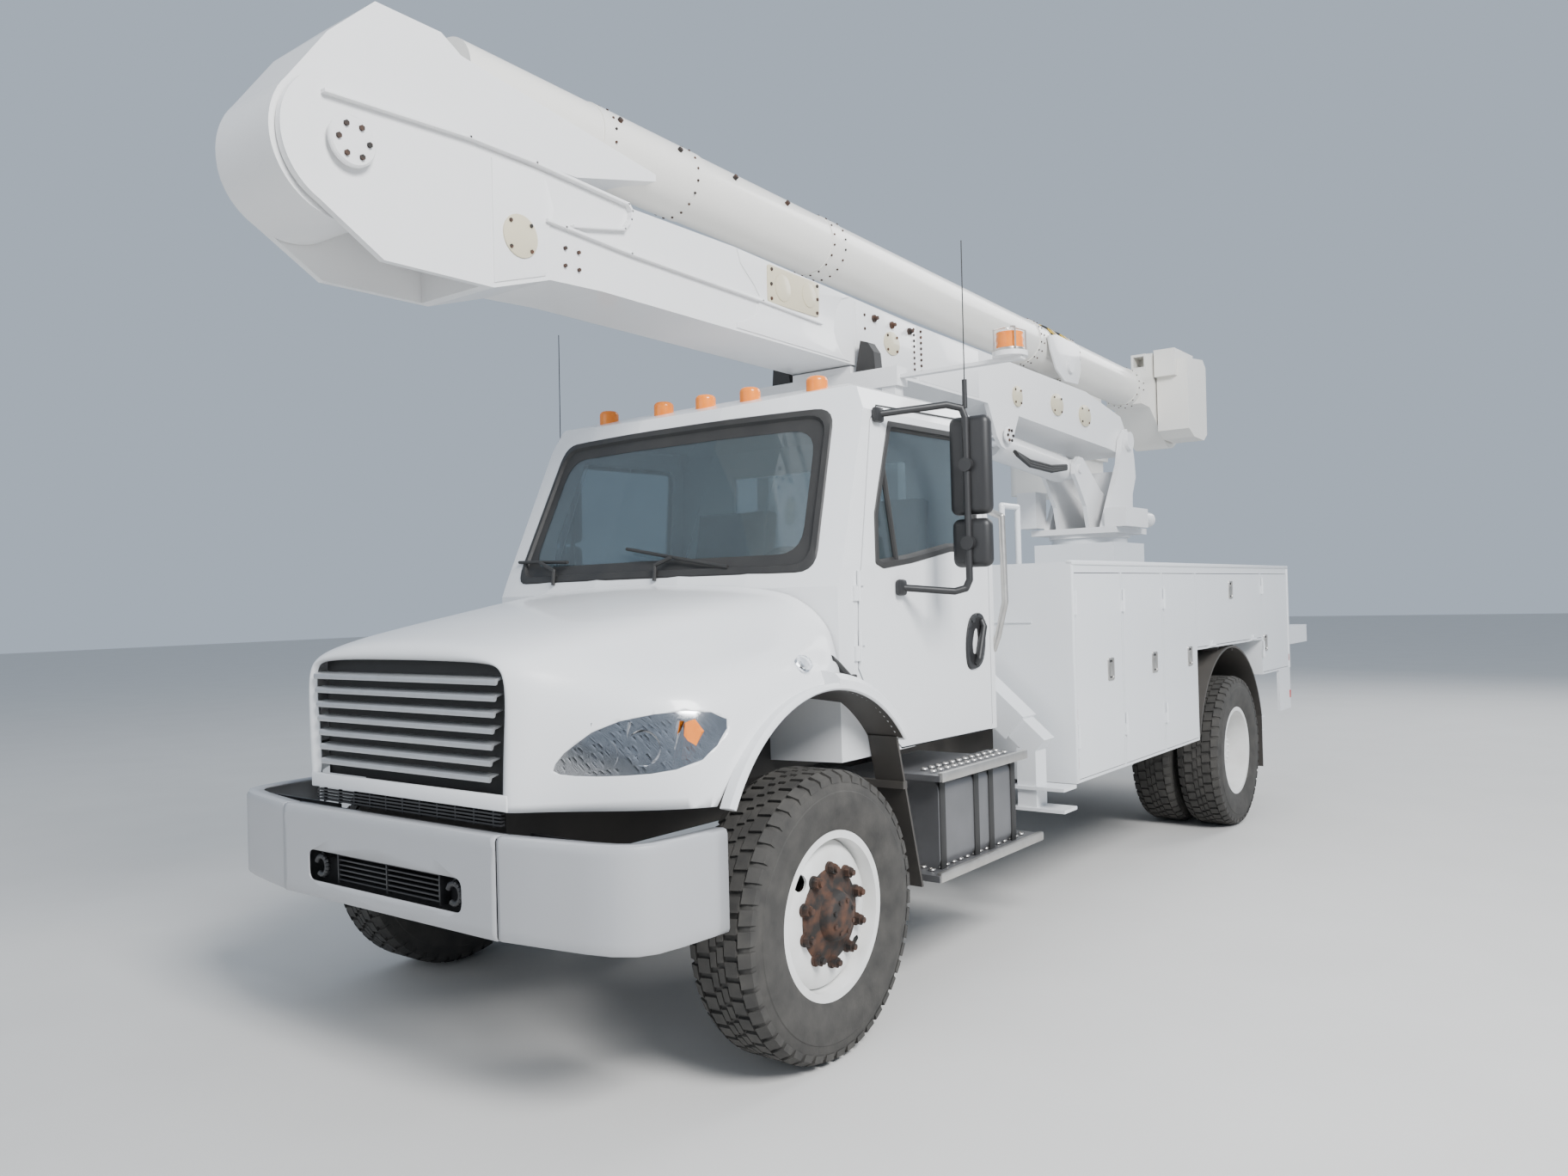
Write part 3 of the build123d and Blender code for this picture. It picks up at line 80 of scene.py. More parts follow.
class Value:
    """A node's output that takes part in sums, through Math nodes of its own material."""

    def __init__(self, finish, socket):
        self.finish = finish
        self.socket = socket

    def math(self, operation, *values, **settings):
        inputs = {place: value for place, value in enumerate(values)}
        return self.finish.node("ShaderNodeMath", dict(operation=operation, **settings), inputs)

    def __add__(self, other):
        return self.math("ADD", self, other)

    def __mul__(self, other):
        return self.math("MULTIPLY", self, other)

    def __rsub__(self, other):
        return self.math("SUBTRACT", other, self)

    __radd__ = __add__

    def above(self, edge, soft):
        """0 below the edge and 1 above it, with a soft step between."""
        return self.finish.node("ShaderNodeMapRange", {"clamp": True},
                                {"Value": self, "From Min": edge - soft, "From Max": edge + soft})


class Finish:
    """A material on the Principled shader, whose nodes are all made by one method."""

    def __init__(self, name, **sockets):
        self.data = bpy.data.materials.new(name)
        self.data.use_nodes = True
        self.tree = self.data.node_tree
        self.shader = self.tree.nodes["Principled BSDF"]
        self.set(**sockets)

    def node(self, kind, settings=None, inputs=None, output=0):
        node = self.tree.nodes.new(kind)
        for key, value in (settings or {}).items():
            setattr(node, key, value)
        for key, value in (inputs or {}).items():
            self.feed(node.inputs[key], value)
        return Value(self, node.outputs[output])

    def feed(self, socket, value):
        if isinstance(value, Value):
            self.tree.links.new(value.socket, socket)
        else:
            socket.default_value = value

    def set(self, **sockets):
        for key, value in sockets.items():
            self.feed(self.shader.inputs[key.replace("_", " ").title().replace("Ior", "IOR")], value)
        return self

    def place(self, axis=None):
        """Object coordinates in metres, or one of them."""
        point = self.node("ShaderNodeTexCoord", output="Object")
        if axis is None:
            return point
        return self.node("ShaderNodeSeparateXYZ", inputs={"Vector": point}, output=axis)

    def stretched(self, scale):
        return self.node("ShaderNodeMapping", inputs={"Vector": self.place(), "Scale": scale})

    def noise(self, scale, detail=3.0, vector=None):
        return self.node("ShaderNodeTexNoise", inputs={
            "Vector": vector or self.place(), "Scale": scale, "Detail": detail})

    def mix(self, factor, first, second):
        return self.node("ShaderNodeMix", {"data_type": "RGBA"}, {0: factor, 6: first, 7: second}, output=2)

    def bump(self, height, strength, distance):
        normal = self.node("ShaderNodeBump", inputs={"Height": height, "Strength": strength, "Distance": distance})
        return self.set(normal=normal)


def dress(finish, *nodes):
    """Gives CAD nodes this finish."""
    for node in nodes:
        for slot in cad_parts[node].material_slots:
            slot.material = finish.data


def mottled(name, patches, first, second, roughness, spread=0.0, **sockets):
    """A finish that wavers between two tones in patches of (scale, detail), rougher by the
    spread where the second tone shows."""
    finish = Finish(name, **sockets)
    patch = finish.noise(*patches)
    return finish.set(base_color=finish.mix(patch, (*first, 1), (*second, 1)),
                      roughness=roughness + patch * spread if spread else roughness)


floor_finish = mottled("studio_floor", (1.5, 6.0), (0.60, 0.59, 0.57), (0.66, 0.65, 0.63), 0.9)
floor_mesh = bmesh.new()
bmesh.ops.create_grid(floor_mesh, x_segments=1, y_segments=1, size=60)
floor_data = bpy.data.meshes.new("floor")
floor_mesh.to_mesh(floor_data)
floor_data.materials.append(floor_finish.data)
floor = bpy.data.objects.new("floor", floor_data)
bpy.context.collection.objects.link(floor)


# Painted steel of the cab, the service body and the booms: white gloss enamel with a
# little orange peel, road film towards the wheels and faint rain streaks down the sides.
def enamel(name, colour, film, roughness=0.28, film_top=1.25):
    finish = Finish(name, coat_weight=0.4, coat_roughness=0.08)
    tone = finish.noise(1.2, 4.0)
    streak = finish.noise(1.0, 4.0, finish.stretched((9.0, 9.0, 0.6)))
    low = 1 - finish.place("Z").above(film_top * 0.55, film_top * 0.45)
    dirt = (low * low * 0.75 + 0.10) * (0.35 + streak * 0.9) * film
    base = finish.mix(tone, colour, tuple(0.955 * c for c in colour[:3]) + (1,))
    finish.set(base_color=finish.mix(dirt, base, (0.33, 0.30, 0.26, 1)))
    finish.set(roughness=roughness + dirt * 0.45)
    return finish.bump(finish.noise(240.0, 1.0), 0.05, 0.001)


cab_white = enamel("cab_white", (0.83, 0.84, 0.85, 1), 0.35)
body_white = enamel("body_white", (0.80, 0.82, 0.84, 1), 0.45, 0.33)
boom_white = enamel("boom_white", (0.83, 0.83, 0.83, 1), 0.5, 0.36)
glass_fibre = enamel("glass_fibre", (0.84, 0.82, 0.77, 1), 0.5, 0.33)
dress(cab_white, "cab", "cab_door_left", "cab_door_right", "hood")
dress(body_white, "body_left", "body_right", "bed", "subframe",
      *["door_%s_%d" % (hand, row) for hand, side in HANDS for row in range(1, 6)],
      "leg_front_left", "leg_front_right", "leg_rear_left", "leg_rear_right")
dress(boom_white, "turret", "lower_boom", "upper_housing", "lift_barrel", "boom_rest")
dress(glass_fibre, "upper_tube", "tip_head", "bucket")

# The bare and dark parts that stay as the CAD has them: black frame, axles and engine, grey
# bumper, rubber, chrome, aluminium tank, tinted glass, amber lamps and the cab's inside.
chassis_black = mottled("chassis_black", (3.0, 5.0), (0.02, 0.02, 0.02), (0.09, 0.08, 0.07), 0.55)
dress(chassis_black, "frame", "front_axle", "rear_axle", "knuckle_left", "knuckle_right", "engine",
      "fenders", "mirror_left", "mirror_right", "battery_box")
bumper_grey = enamel("bumper_grey", (0.40, 0.41, 0.43, 1), 0.5, 0.4)
dress(bumper_grey, "bumper")
tyre_rubber = mottled("tyre_rubber", (9.0, 5.0), (0.012, 0.012, 0.012), (0.05, 0.047, 0.043), 0.8)
dress(tyre_rubber, "tyre_front_left", "tyre_front_right", "tyre_rear_left", "tyre_rear_right")
dress(cab_white, "rim_front_left", "rim_front_right", "rim_rear_left", "rim_rear_right")
chrome = mottled("chrome", (8.0, 5.0), (0.62, 0.63, 0.64), (0.76, 0.77, 0.78), 0.1, 0.12, metallic=1.0)
dress(chrome, "grille", "lift_rod", "level_shaft")
aluminium = mottled("aluminium", (5.0, 6.0), (0.16, 0.16, 0.165), (0.30, 0.30, 0.31), 0.35, 0.25, metallic=0.8)
dress(aluminium, "fuel_tank")
glass = mottled("tinted_glass", (2.5, 5.0), (0.30, 0.38, 0.42), (0.40, 0.48, 0.51), 0.02, 0.04,
                transmission_weight=0.9, ior=1.45)
dress(glass, "cab_glass", "door_glass_left", "door_glass_right", "headlamps")
amber = mottled("amber_lens", (25.0, 3.0), (0.85, 0.18, 0.01), (0.95, 0.30, 0.03), 0.2)
dress(amber, "roof_lamps")
trim_grey = mottled("trim_grey", (30.0, 4.0), (0.09, 0.09, 0.095), (0.15, 0.15, 0.155), 0.7)
dress(trim_grey, "cab_interior")


# Hood and front fenders: one white moulding, laid up in a mould from glass fibre, with a
# folded lip round each wheel arch. It tilts forward on two pins behind the bumper.
def spot(x, distance, z):
    """A place in metres from millimetres across, behind the bumper's front face, and up."""
    return Vector((x / 1000, BUMPER_Y + distance / 1000, z / 1000))


def spots(side, *places):
    """The same on one side of the truck, 1 for the left and -1 for the right."""
    return [spot(side * x, distance, z) for x, distance, z in places]


def shifted(mesh, geom, way):
    """Moves the vertices among some geometry, and gives them."""
    moved = [part for part in geom if isinstance(part, bmesh.types.BMVert)]
    bmesh.ops.translate(mesh, verts=moved, vec=way)
    return moved


def eased(mesh, edges, reach, segments=2):
    """Rounds edges off by some millimetres."""
    bmesh.ops.bevel(mesh, geom=list(edges), offset=reach / 1000, segments=segments, profile=0.5,
                    affect="EDGES", material=-1)


def chain(mesh, points):
    """A row of vertices joined by edges."""
    verts = [mesh.verts.new(point) for point in points]
    return [mesh.edges.new(pair) for pair in zip(verts, verts[1:])]


def skin(mesh, rows):
    """A surface through rows of points."""
    chains = [chain(mesh, row) for row in rows]
    for first, second in zip(chains, chains[1:]):
        bmesh.ops.bridge_loops(mesh, edges=first + second)


def smoothed(mesh, levels):
    """The same surface, subdivided and rounded."""
    data = bpy.data.meshes.new("draft")
    mesh.to_mesh(data)
    draft = bpy.data.objects.new("draft", data)
    bpy.context.collection.objects.link(draft)
    modifier = draft.modifiers.new("smooth", "SUBSURF")
    modifier.levels = modifier.render_levels = levels
    done = bmesh.new()
    done.from_object(draft, bpy.context.evaluated_depsgraph_get())
    bpy.data.objects.remove(draft)
    return done


def plate(mesh, corners, thickness):
    """A flat outline made thick along a vector."""
    face = mesh.faces.new([mesh.verts.new(corner) for corner in corners])
    shifted(mesh, bmesh.ops.extrude_face_region(mesh, geom=[face], use_keep_orig=True)["geom"], thickness)


def block(mesh, x, distance, z, bevel=0.0):
    """A block between pairs of X, station and Z in millimetres, its edges eased."""
    middle = spot(sum(x) / 2, sum(distance) / 2, sum(z) / 2)
    size = Vector((abs(x[1] - x[0]), abs(distance[1] - distance[0]), abs(z[1] - z[0]))) / 1000
    made = bmesh.ops.create_cube(mesh, size=1, matrix=Matrix.Translation(middle) @ Matrix.Diagonal((*size, 1)))
    if bevel:
        eased(mesh, {edge for vert in made["verts"] for edge in vert.link_edges}, bevel)


def rod(mesh, start, end, radius, segments=20, tip=None):
    """A round bar between two points, or a cone if its far end has another radius."""
    way = end - start
    turn = way.to_track_quat("Z", "Y").to_matrix().to_4x4()
    bmesh.ops.create_cone(mesh, cap_ends=True, segments=segments, radius1=radius,
                          radius2=radius if tip is None else tip, depth=way.length,
                          matrix=Matrix.Translation((start + end) / 2) @ turn)


def turned(mesh, profile, centre, axis="X", steps=48):
    """A closed outline of (along the axis, radius), in millimetres, spun about the axis."""
    along = Vector((1, 0, 0)) if axis == "X" else Vector((0, 0, 1))
    out = Vector((0, 0, 1)) if axis == "X" else Vector((1, 0, 0))
    points = [centre + along * (a / 1000) + out * (r / 1000) for a, r in profile]
    edges = chain(mesh, points)
    verts = list({vert for edge in edges for vert in edge.verts})
    bmesh.ops.spin(mesh, geom=verts + edges, cent=centre, axis=along, angle=2 * pi, steps=steps, use_merge=True)


def piece(name, mesh, finish, body, replaced=(), angle=35):
    """The finished object: doubles merged, faces outward, smooth up to an angle."""
    bmesh.ops.remove_doubles(mesh, verts=mesh.verts, dist=0.00005)
    bmesh.ops.recalc_face_normals(mesh, faces=mesh.faces)
    data = bpy.data.meshes.new(name)
    mesh.to_mesh(data)
    mesh.free()
    data.materials.append(finish.data)
    data.shade_smooth()
    data.set_sharp_from_angle(angle=radians(angle))
    made = bpy.data.objects.new(name, data)
    bpy.context.collection.objects.link(made)
    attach(made, body)
    if replaced:
        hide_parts(*replaced)
    return made


def walled(shell, thickness):
    """Gives a finished skin its wall, inwards."""
    wall = shell.modifiers.new("wall", "SOLIDIFY")
    wall.thickness = thickness
    wall.offset = -1.0


def inside(outline, a, b):
    """Whether a point lies inside a closed outline, by counting crossings."""
    crossed = False
    for (a0, b0), (a1, b1) in zip(outline, outline[1:] + outline[:1]):
        if (b0 > b) != (b1 > b) and a < a0 + (b - b0) * (a1 - a0) / (b1 - b0):
            crossed = not crossed
    return crossed


def cut_along(mesh, outline, near, first=0):
    """Splits the faces that are near along an outline, seen along Y (first=0) or X (first=1),
    and gives the faces inside it."""
    for (a0, b0), (a1, b1) in zip(outline, outline[1:] + outline[:1]):
        faces = [face for face in mesh.faces if near(face.calc_center_median())]
        geom = list({vert for face in faces for vert in face.verts}) + list(
            {edge for face in faces for edge in face.edges}) + faces
        point = Vector((0, 0, b0))
        point[first] = a0
        normal = Vector((0, 0, a0 - a1))
        normal[first] = b1 - b0
        bmesh.ops.bisect_plane(mesh, geom=geom, plane_co=point, plane_no=normal, dist=0.00001)
    return [face for face in mesh.faces if near(face.calc_center_median())
            and inside(outline, face.calc_center_median()[first], face.calc_center_median().z)]


def rounded(points, radius, segments=5):
    """A closed outline in millimetres with its corners rounded."""
    done = []
    for before, corner, after in zip(points[-1:] + points[:-1], points, points[1:] + points[:1]):
        corner = Vector(corner)
        start = corner + (Vector(before) - corner).normalized() * radius
        end = corner + (Vector(after) - corner).normalized() * radius
        for step in range(segments + 1):
            share = step / segments
            bent = start.lerp(corner, share).lerp(corner.lerp(end, share), share)
            done.append((bent.x, bent.y))
    return done


HOOD_ROWS = [  # station, then (X, Z) from the crown down to the lower edge
    (112, (0, 1474), (300, 1472), (505, 1466), (556, 1440), (556, 1330), (540, 1190), (530, 985)),
    (90, (0, 1486), (300, 1483), (510, 1474), (572, 1440), (580, 1335), (572, 1195), (560, 985)),
    (100, (0, 1520), (305, 1514), (515, 1488), (588, 1445), (600, 1345), (598, 1200), (590, 985)),
    (130, (0, 1543), (320, 1535), (540, 1502), (622, 1450), (645, 1350), (645, 1200), (630, 985)),
    (200, (0, 1560), (330, 1552), (565, 1520), (665, 1455), (705, 1360), (722, 1220), (715, 985)),
    (300, (0, 1580), (340, 1572), (590, 1542), (705, 1462), (800, 1385), (878, 1270), (885, 985)),
    (412, (0, 1602), (350, 1592), (612, 1560), (740, 1474), (880, 1408), (1003, 1305), (1024, 985)),
    (534, (0, 1624), (360, 1613), (632, 1580), (768, 1490), (930, 1430), (1090, 1345), (1130, 985)),
    (800, (0, 1668), (390, 1654), (672, 1622), (806, 1540), (965, 1470), (1140, 1385), (1174, 985)),
    (1057, (0, 1706), (430, 1692), (712, 1664), (832, 1598), (970, 1505), (1145, 1405), (1182, 985)),
    (1200, (0, 1726), (450, 1712), (745, 1686), (856, 1636), (968, 1545), (1095, 1425), (1120, 985)),
    (1254, (0, 1734), (456, 1720), (755, 1696), (866, 1650), (962, 1568), (1012, 1450), (1012, 985)),
]
FRONT_BOW = 105.0
ARCH = (1085, 690)
ARCH_R = 637.0


def hood_row(distance, *half):
    """One cross section, bowed back towards the cab as the cowl is."""
    share = max(0.0, (distance - 1000) / 254) ** 1.5
    return [spot(x, distance + share * FRONT_BOW * (x / 950) ** 2, z) for x, z in
            [(-x, z) for x, z in reversed(half[1:])] + list(half)]


draft = bmesh.new()
skin(draft, [hood_row(*row) for row in HOOD_ROWS])
hood_skin = smoothed(draft, 3)
draft.free()

# The lamps' openings and the wheel arches are cut from the skin
LAMP = [(700, 1118), (706, 1140), (730, 1175), (800, 1238), (870, 1272), (950, 1291), (1020, 1297), (1064, 1288),
        (1090, 1262), (1096, 1232), (1090, 1180), (1070, 1138), (1017, 1112), (960, 1102), (895, 1098),
        (820, 1097), (760, 1100), (718, 1106)]
lens_skins = {}
for hand, side in HANDS:
    outline = [(side * x / 1000, z / 1000) for x, z in LAMP][::side]
    taken = cut_along(hood_skin, outline, lambda c: 0.67 < side * c.x < 1.13 and c.y < BUMPER_Y + 0.75
                      and 1.06 < c.z < 1.33)
    kept = hood_skin.copy()
    kept.faces.ensure_lookup_table()
    hood_skin.faces.index_update()
    numbers = {face.index for face in taken}
    bmesh.ops.delete(kept, geom=[face for face in kept.faces if face.index not in numbers], context="FACES")
    lens_skins[hand] = kept
    bmesh.ops.delete(hood_skin, geom=taken, context="FACES")
    arch = [((BUMPER_Y + (ARCH[0] + ARCH_R * cos(turn / 20 * pi)) / 1000),
             (ARCH[1] + ARCH_R * sin(turn / 20 * pi)) / 1000) for turn in range(-8, 29)]
    hub = Vector((BUMPER_Y + ARCH[0] / 1000, ARCH[1] / 1000))
    cut_along(hood_skin, arch, lambda c: side * c.x > 0.66 and abs((c.yz - hub).length - ARCH_R / 1000) < 0.06, first=1)
    bmesh.ops.delete(hood_skin, context="FACES", geom=[
        face for face in hood_skin.faces if side * face.calc_center_median().x > 0.66
        and (face.calc_center_median().yz - hub).length < ARCH_R / 1000])
walled(piece("hood_moulding", hood_skin, cab_white, "hood", ["hood"], 40), 0.008)

# Rolled lips and tails of the wheel arches, the chin under the grille, and black liners
trim = bmesh.new()
for side in (1, -1):
    centre = spot(0, ARCH[0], ARCH[1])
    for profile, start, sweep in (
            ([(1118, 634), (1120, 642), (1150, 652), (1172, 655), (1184, 648), (1186, 636), (1180, 630), (1150, 629)],
             radians(27), radians(114)),
            ([(1046, 634), (1046, 690), (1100, 700), (1160, 690), (1182, 668), (1184, 634)], radians(94), radians(45))):
        points = [spot(side * x, ARCH[0], ARCH[1] + r) for x, r in profile]
        face = trim.faces.new([trim.verts.new(point) for point in points])
        geom = list(face.verts) + list(face.edges) + [face]
        bmesh.ops.rotate(trim, verts=face.verts, cent=centre, matrix=Matrix.Rotation(pi / 2 - start, 4, "X"))
        bmesh.ops.spin(trim, geom=geom, cent=centre, axis=(1, 0, 0), angle=-sweep, steps=40)
block(trim, (-575, 575), (90, 104), (986, 1040), 5)
piece("fender_lips", trim, cab_white, "hood")
liner = bmesh.new()
for side in (1, -1):
    start = chain(liner, [spot(side * 700, ARCH[0], ARCH[1] + 629), spot(side * 1176, ARCH[0], ARCH[1] + 629)])
    verts = list(start[0].verts)
    bmesh.ops.rotate(liner, verts=verts, cent=centre, matrix=Matrix.Rotation(radians(62), 4, "X"))
    bmesh.ops.spin(liner, geom=verts + start, cent=centre, axis=(1, 0, 0), angle=-radians(112), steps=36)
    wall_edge = [spot(side * 702, ARCH[0] + 626 * cos(radians(turn)), ARCH[1] + 626 * sin(radians(turn)))
                 for turn in range(25, 156, 5)]
    plate(liner, wall_edge, (-side * 0.004, 0, 0))
piece("arch_liners", liner, chassis_black, "hood")

# Headlamps: a clear moulded lens in the fender's own curve, over a bright bowl with two
# reflectors, upright fins and an amber corner.
bezel_black = mottled("bezel_black", (30.0, 3.0), (0.012, 0.012, 0.013), (0.03, 0.03, 0.032), 0.35)
lens_clear = Finish("lens_clear", base_color=(0.95, 0.97, 1.0, 1), transmission_weight=1.0, ior=1.3)
lens_clear.set(roughness=lens_clear.noise(12.0) * 0.05)
reflector = mottled("reflector", (8.0, 3.0), (0.55, 0.56, 0.58), (0.8, 0.81, 0.83), 0.12, metallic=1.0)
for hand, side in HANDS:
    lens = lens_skins[hand]
    bowl = lens.copy()
    walled(piece("headlamp_lens_" + hand, lens, lens_clear, "hood",
                 ["headlamps"] if side > 0 else ()), 0.003)
    moved = shifted(bowl, bmesh.ops.extrude_face_region(bowl, geom=bowl.faces[:])["geom"],
                    (-side * 0.045, 0.085, 0))
    middle = sum((vert.co for vert in moved), Vector()) / len(moved)
    bmesh.ops.scale(bowl, verts=moved, vec=(0.86, 0.86, 0.8), space=Matrix.Translation(-middle))
    piece("headlamp_bowl_" + hand, bowl, reflector, "hood")
    optics = bmesh.new()
    for x, distance, z, radius in ((815, 315, 1165, 48), (925, 390, 1185, 56)):
        mouth = spot(side * x, distance, z)
        turned(optics, [(-radius * 0.2, radius * 0.3), (0, radius * 0.42), (radius * 0.3, radius * 0.78),
                        (radius * 0.75, radius), (radius * 0.8, radius * 1.06), (radius * 0.2, radius * 0.9)],
               Vector(), "Z", 32)
        fresh = [vert for vert in optics.verts if vert.co.length < 0.2]
        bmesh.ops.rotate(optics, verts=fresh, cent=(0, 0, 0),
                         matrix=Vector((side * 0.45, -1, 0.02)).to_track_quat("Z", "Y").to_matrix())
        bmesh.ops.translate(optics, verts=fresh, vec=mouth)
    for x, distance in ((765, 250), (868, 318), (992, 420)):
        plate(optics, spots(side, (x, distance, 1108), (x + 30, distance + 10, 1270),
                            (x + 20, distance + 60, 1262), (x - 10, distance + 60, 1112)), (side * 0.007, 0, 0))
    piece("headlamp_reflectors_" + hand, optics, reflector, "hood")
    winker = bmesh.new()
    plate(winker, spots(side, (1014, 452, 1140), (1040, 468, 1142), (1070, 492, 1230), (1050, 468, 1270),
                        (1034, 452, 1262)), (-side * 0.01, 0.03, 0))
    piece("headlamp_winker_" + hand, winker, amber, "hood")

# Grille: seven folded slats of silver-painted steel in the hood's mouth, with the dark
# finned core of the radiator behind them. It tilts with the hood.
silver_paint = mottled("silver_paint", (25.0, 4.0), (0.50, 0.51, 0.52), (0.60, 0.61, 0.62), 0.26, 0.14, metallic=0.75)
GRILLE_LOW, GRILLE_HIGH = 1035, 1462
SLATS = 7
grille_metal = bmesh.new()
for row in range(SLATS):
    share = (row + 1) / (SLATS + 1)
    z = GRILLE_LOW + (GRILLE_HIGH - GRILLE_LOW) * share
    half = 490 + 56 * share
    profile = [(88, -11), (86, -2), (88, 7), (94, 11), (126, 15), (126, 10), (98, 3), (94, -9)]
    plate(grille_metal, [spot(-half, distance, z + rise) for distance, rise in profile], (2 * half / 1000, 0, 0))
piece("grille_bars", grille_metal, silver_paint, "hood", ["grille"])
core_black = Finish("core_black", roughness=0.7)
across = core_black.place("X") * 2400.0
# The fins' sine gives both their bump and their colour, lighter on the crests and darker in the troughs: painted shade
# in the gaps between the fins.
fin_relief_and_gap_shade = across.math("SINE", across)
core_black.set(base_color=core_black.mix(fin_relief_and_gap_shade.above(0.0, 0.6), (0.006, 0.006, 0.006, 1), (0.05, 0.05, 0.05, 1)))
core_black.bump(fin_relief_and_gap_shade, 0.4, 0.002)
core = bmesh.new()
block(core, (-545, 545), (150, 158), (1030, 1470))
piece("grille_screen", core, core_black, "hood")

# Bumper: three pressed pieces of steel in a dull grey, with an opening that shows a black
# insert and the tow eyes, and bolts with round heads above it.
PRESSING = [(64, 608), (20, 598), (5, 600), (0, 612), (0, 640), (0, 890), (0, 914), (5, 926), (18, 930), (64, 926)]
BUMPER_PARTS = [  # plan points as (X, station) from the middle outwards
    [(-621, 0), (-600, 0), (-300, 0), (0, 0), (300, 0), (600, 0), (621, 0)],
    [(626, 6), (640, 6), (800, 32), (960, 60), (1050, 84), (1118, 128), (1150, 186), (1166, 280), (1176, 400),
     (1180, 478)],
]
bumper_steel = bmesh.new()
for plan in (BUMPER_PARTS[0], BUMPER_PARTS[1], [(-x, distance) for x, distance in BUMPER_PARTS[1]][::-1]):
    rows = []
    for place, (x, distance) in enumerate(plan):
        before = Vector(plan[max(place - 1, 0)])
        after = Vector(plan[min(place + 1, len(plan) - 1)])
        way = (after - before).normalized()
        inward = Vector((-way.y, way.x))
        rows.append([spot(x + inward.x * into, distance + inward.y * into, z) for into, z in PRESSING])
    skin(bumper_steel, rows)
mouth = [(x / 1000, z / 1000) for x, z in rounded([(-452, 662), (452, 662), (452, 776), (-452, 776)], 36, 5)]
opening = cut_along(bumper_steel, mouth, lambda c: c.y < BUMPER_Y + 0.004 and abs(c.x) < 0.63)
bmesh.ops.delete(bumper_steel, geom=opening, context="FACES")
walled(piece("bumper_pressings", bumper_steel, bumper_grey, "chassis", ["bumper"], 30), 0.006)
under = bmesh.new()
block(under, (-620, 620), (70, 76), (600, 925))
for side in (1, -1):
    block(under, (side * 560, side * 1120), (200, 206), (620, 900))
for row in range(6):
    block(under, (-300, 300), (28, 66), (672 + row * 18, 678 + row * 18), 1)
for x in (-300, 0, 300):
    block(under, (x - 4, x + 4), (26, 68), (662, 776), 1)
for x in range(-500, 501, 100):
    block(under, (x - 3, x + 3), (96, 110), (932, 984))
for z in (940, 952, 964, 976):
    block(under, (-540, 540), (94, 112), (z - 3, z + 3))
for side in (1, -1):
    centre = spot(side * 392, 20, 717)
    for step in range(14):
        a, b = radians(-120 + step * 20), radians(-100 + step * 20)
        rod(under, centre + Vector((0.034 * cos(a), 0, 0.034 * sin(a))),
            centre + Vector((0.034 * cos(b), 0, 0.034 * sin(b))), 0.011, 12)
    rod(under, centre + Vector((0, 0.0, 0.036)), centre + Vector((0, 0.05, 0.03)), 0.012, 12)
piece("bumper_insert", under, bezel_black, "chassis")
bolts = bmesh.new()
for x in (-215, 215, -330):
    rod(bolts, spot(x, 6, 858), spot(x, 0.5, 858), 0.009, 16, 0.006)
piece("bumper_bolts", bolts, chrome, "chassis")


# Wheels: heavy radial tyres with blocky shoulders on white pressed-steel discs. The front
# hubs stand out bare and rusty with ten studs, the rear discs are dished inwards.
tread_rubber = mottled("tread_rubber", (14.0, 6.0), (0.014, 0.014, 0.014), (0.085, 0.08, 0.072), 0.72, 0.2)
tread_rubber.bump(tread_rubber.noise(90.0, 4.0), 0.35, 0.002)
wheel_paint = Finish("wheel_paint", coat_weight=0.3)
grime = wheel_paint.noise(6.0, 6.0)
wheel_paint.set(base_color=wheel_paint.mix(grime.above(0.55, 0.2), (0.80, 0.80, 0.79, 1), (0.66, 0.65, 0.62, 1)))
wheel_paint.set(roughness=0.3 + grime * 0.2)
rusty_iron = Finish("rusty_iron", metallic=0.35)
flakes = rusty_iron.noise(22.0, 8.0)
rusty_iron.set(base_color=rusty_iron.mix(flakes.above(0.56, 0.16), (0.03, 0.027, 0.025, 1), (0.13, 0.062, 0.038, 1)))
rusty_iron.set(roughness=0.6 + flakes * 0.3)
rusty_iron.bump(flakes, 0.5, 0.002)
AXLES = {"front": 1057, "rear": 5983}
HUB_Z = 517
CARCASS = [(-100, 288), (-107, 301), (-120, 303), (-126, 318), (-127, 322), (-133, 345), (-134, 349), (-139, 385),
           (-140, 405), (-139, 440), (-136, 444), (-133, 470), (-124, 492), (-108, 502), (-60, 506), (0, 507)]
BLOCKS = 46
TREAD_R = 517
TREAD_ROWS = [  # inner and outer edge from the middle, the radii at their feet, lead in pitches
    (92, 134, 500, 474, 0.0), (34, 84, 503, 503, 0.5), (3, 28, 504, 504, 0.1)]


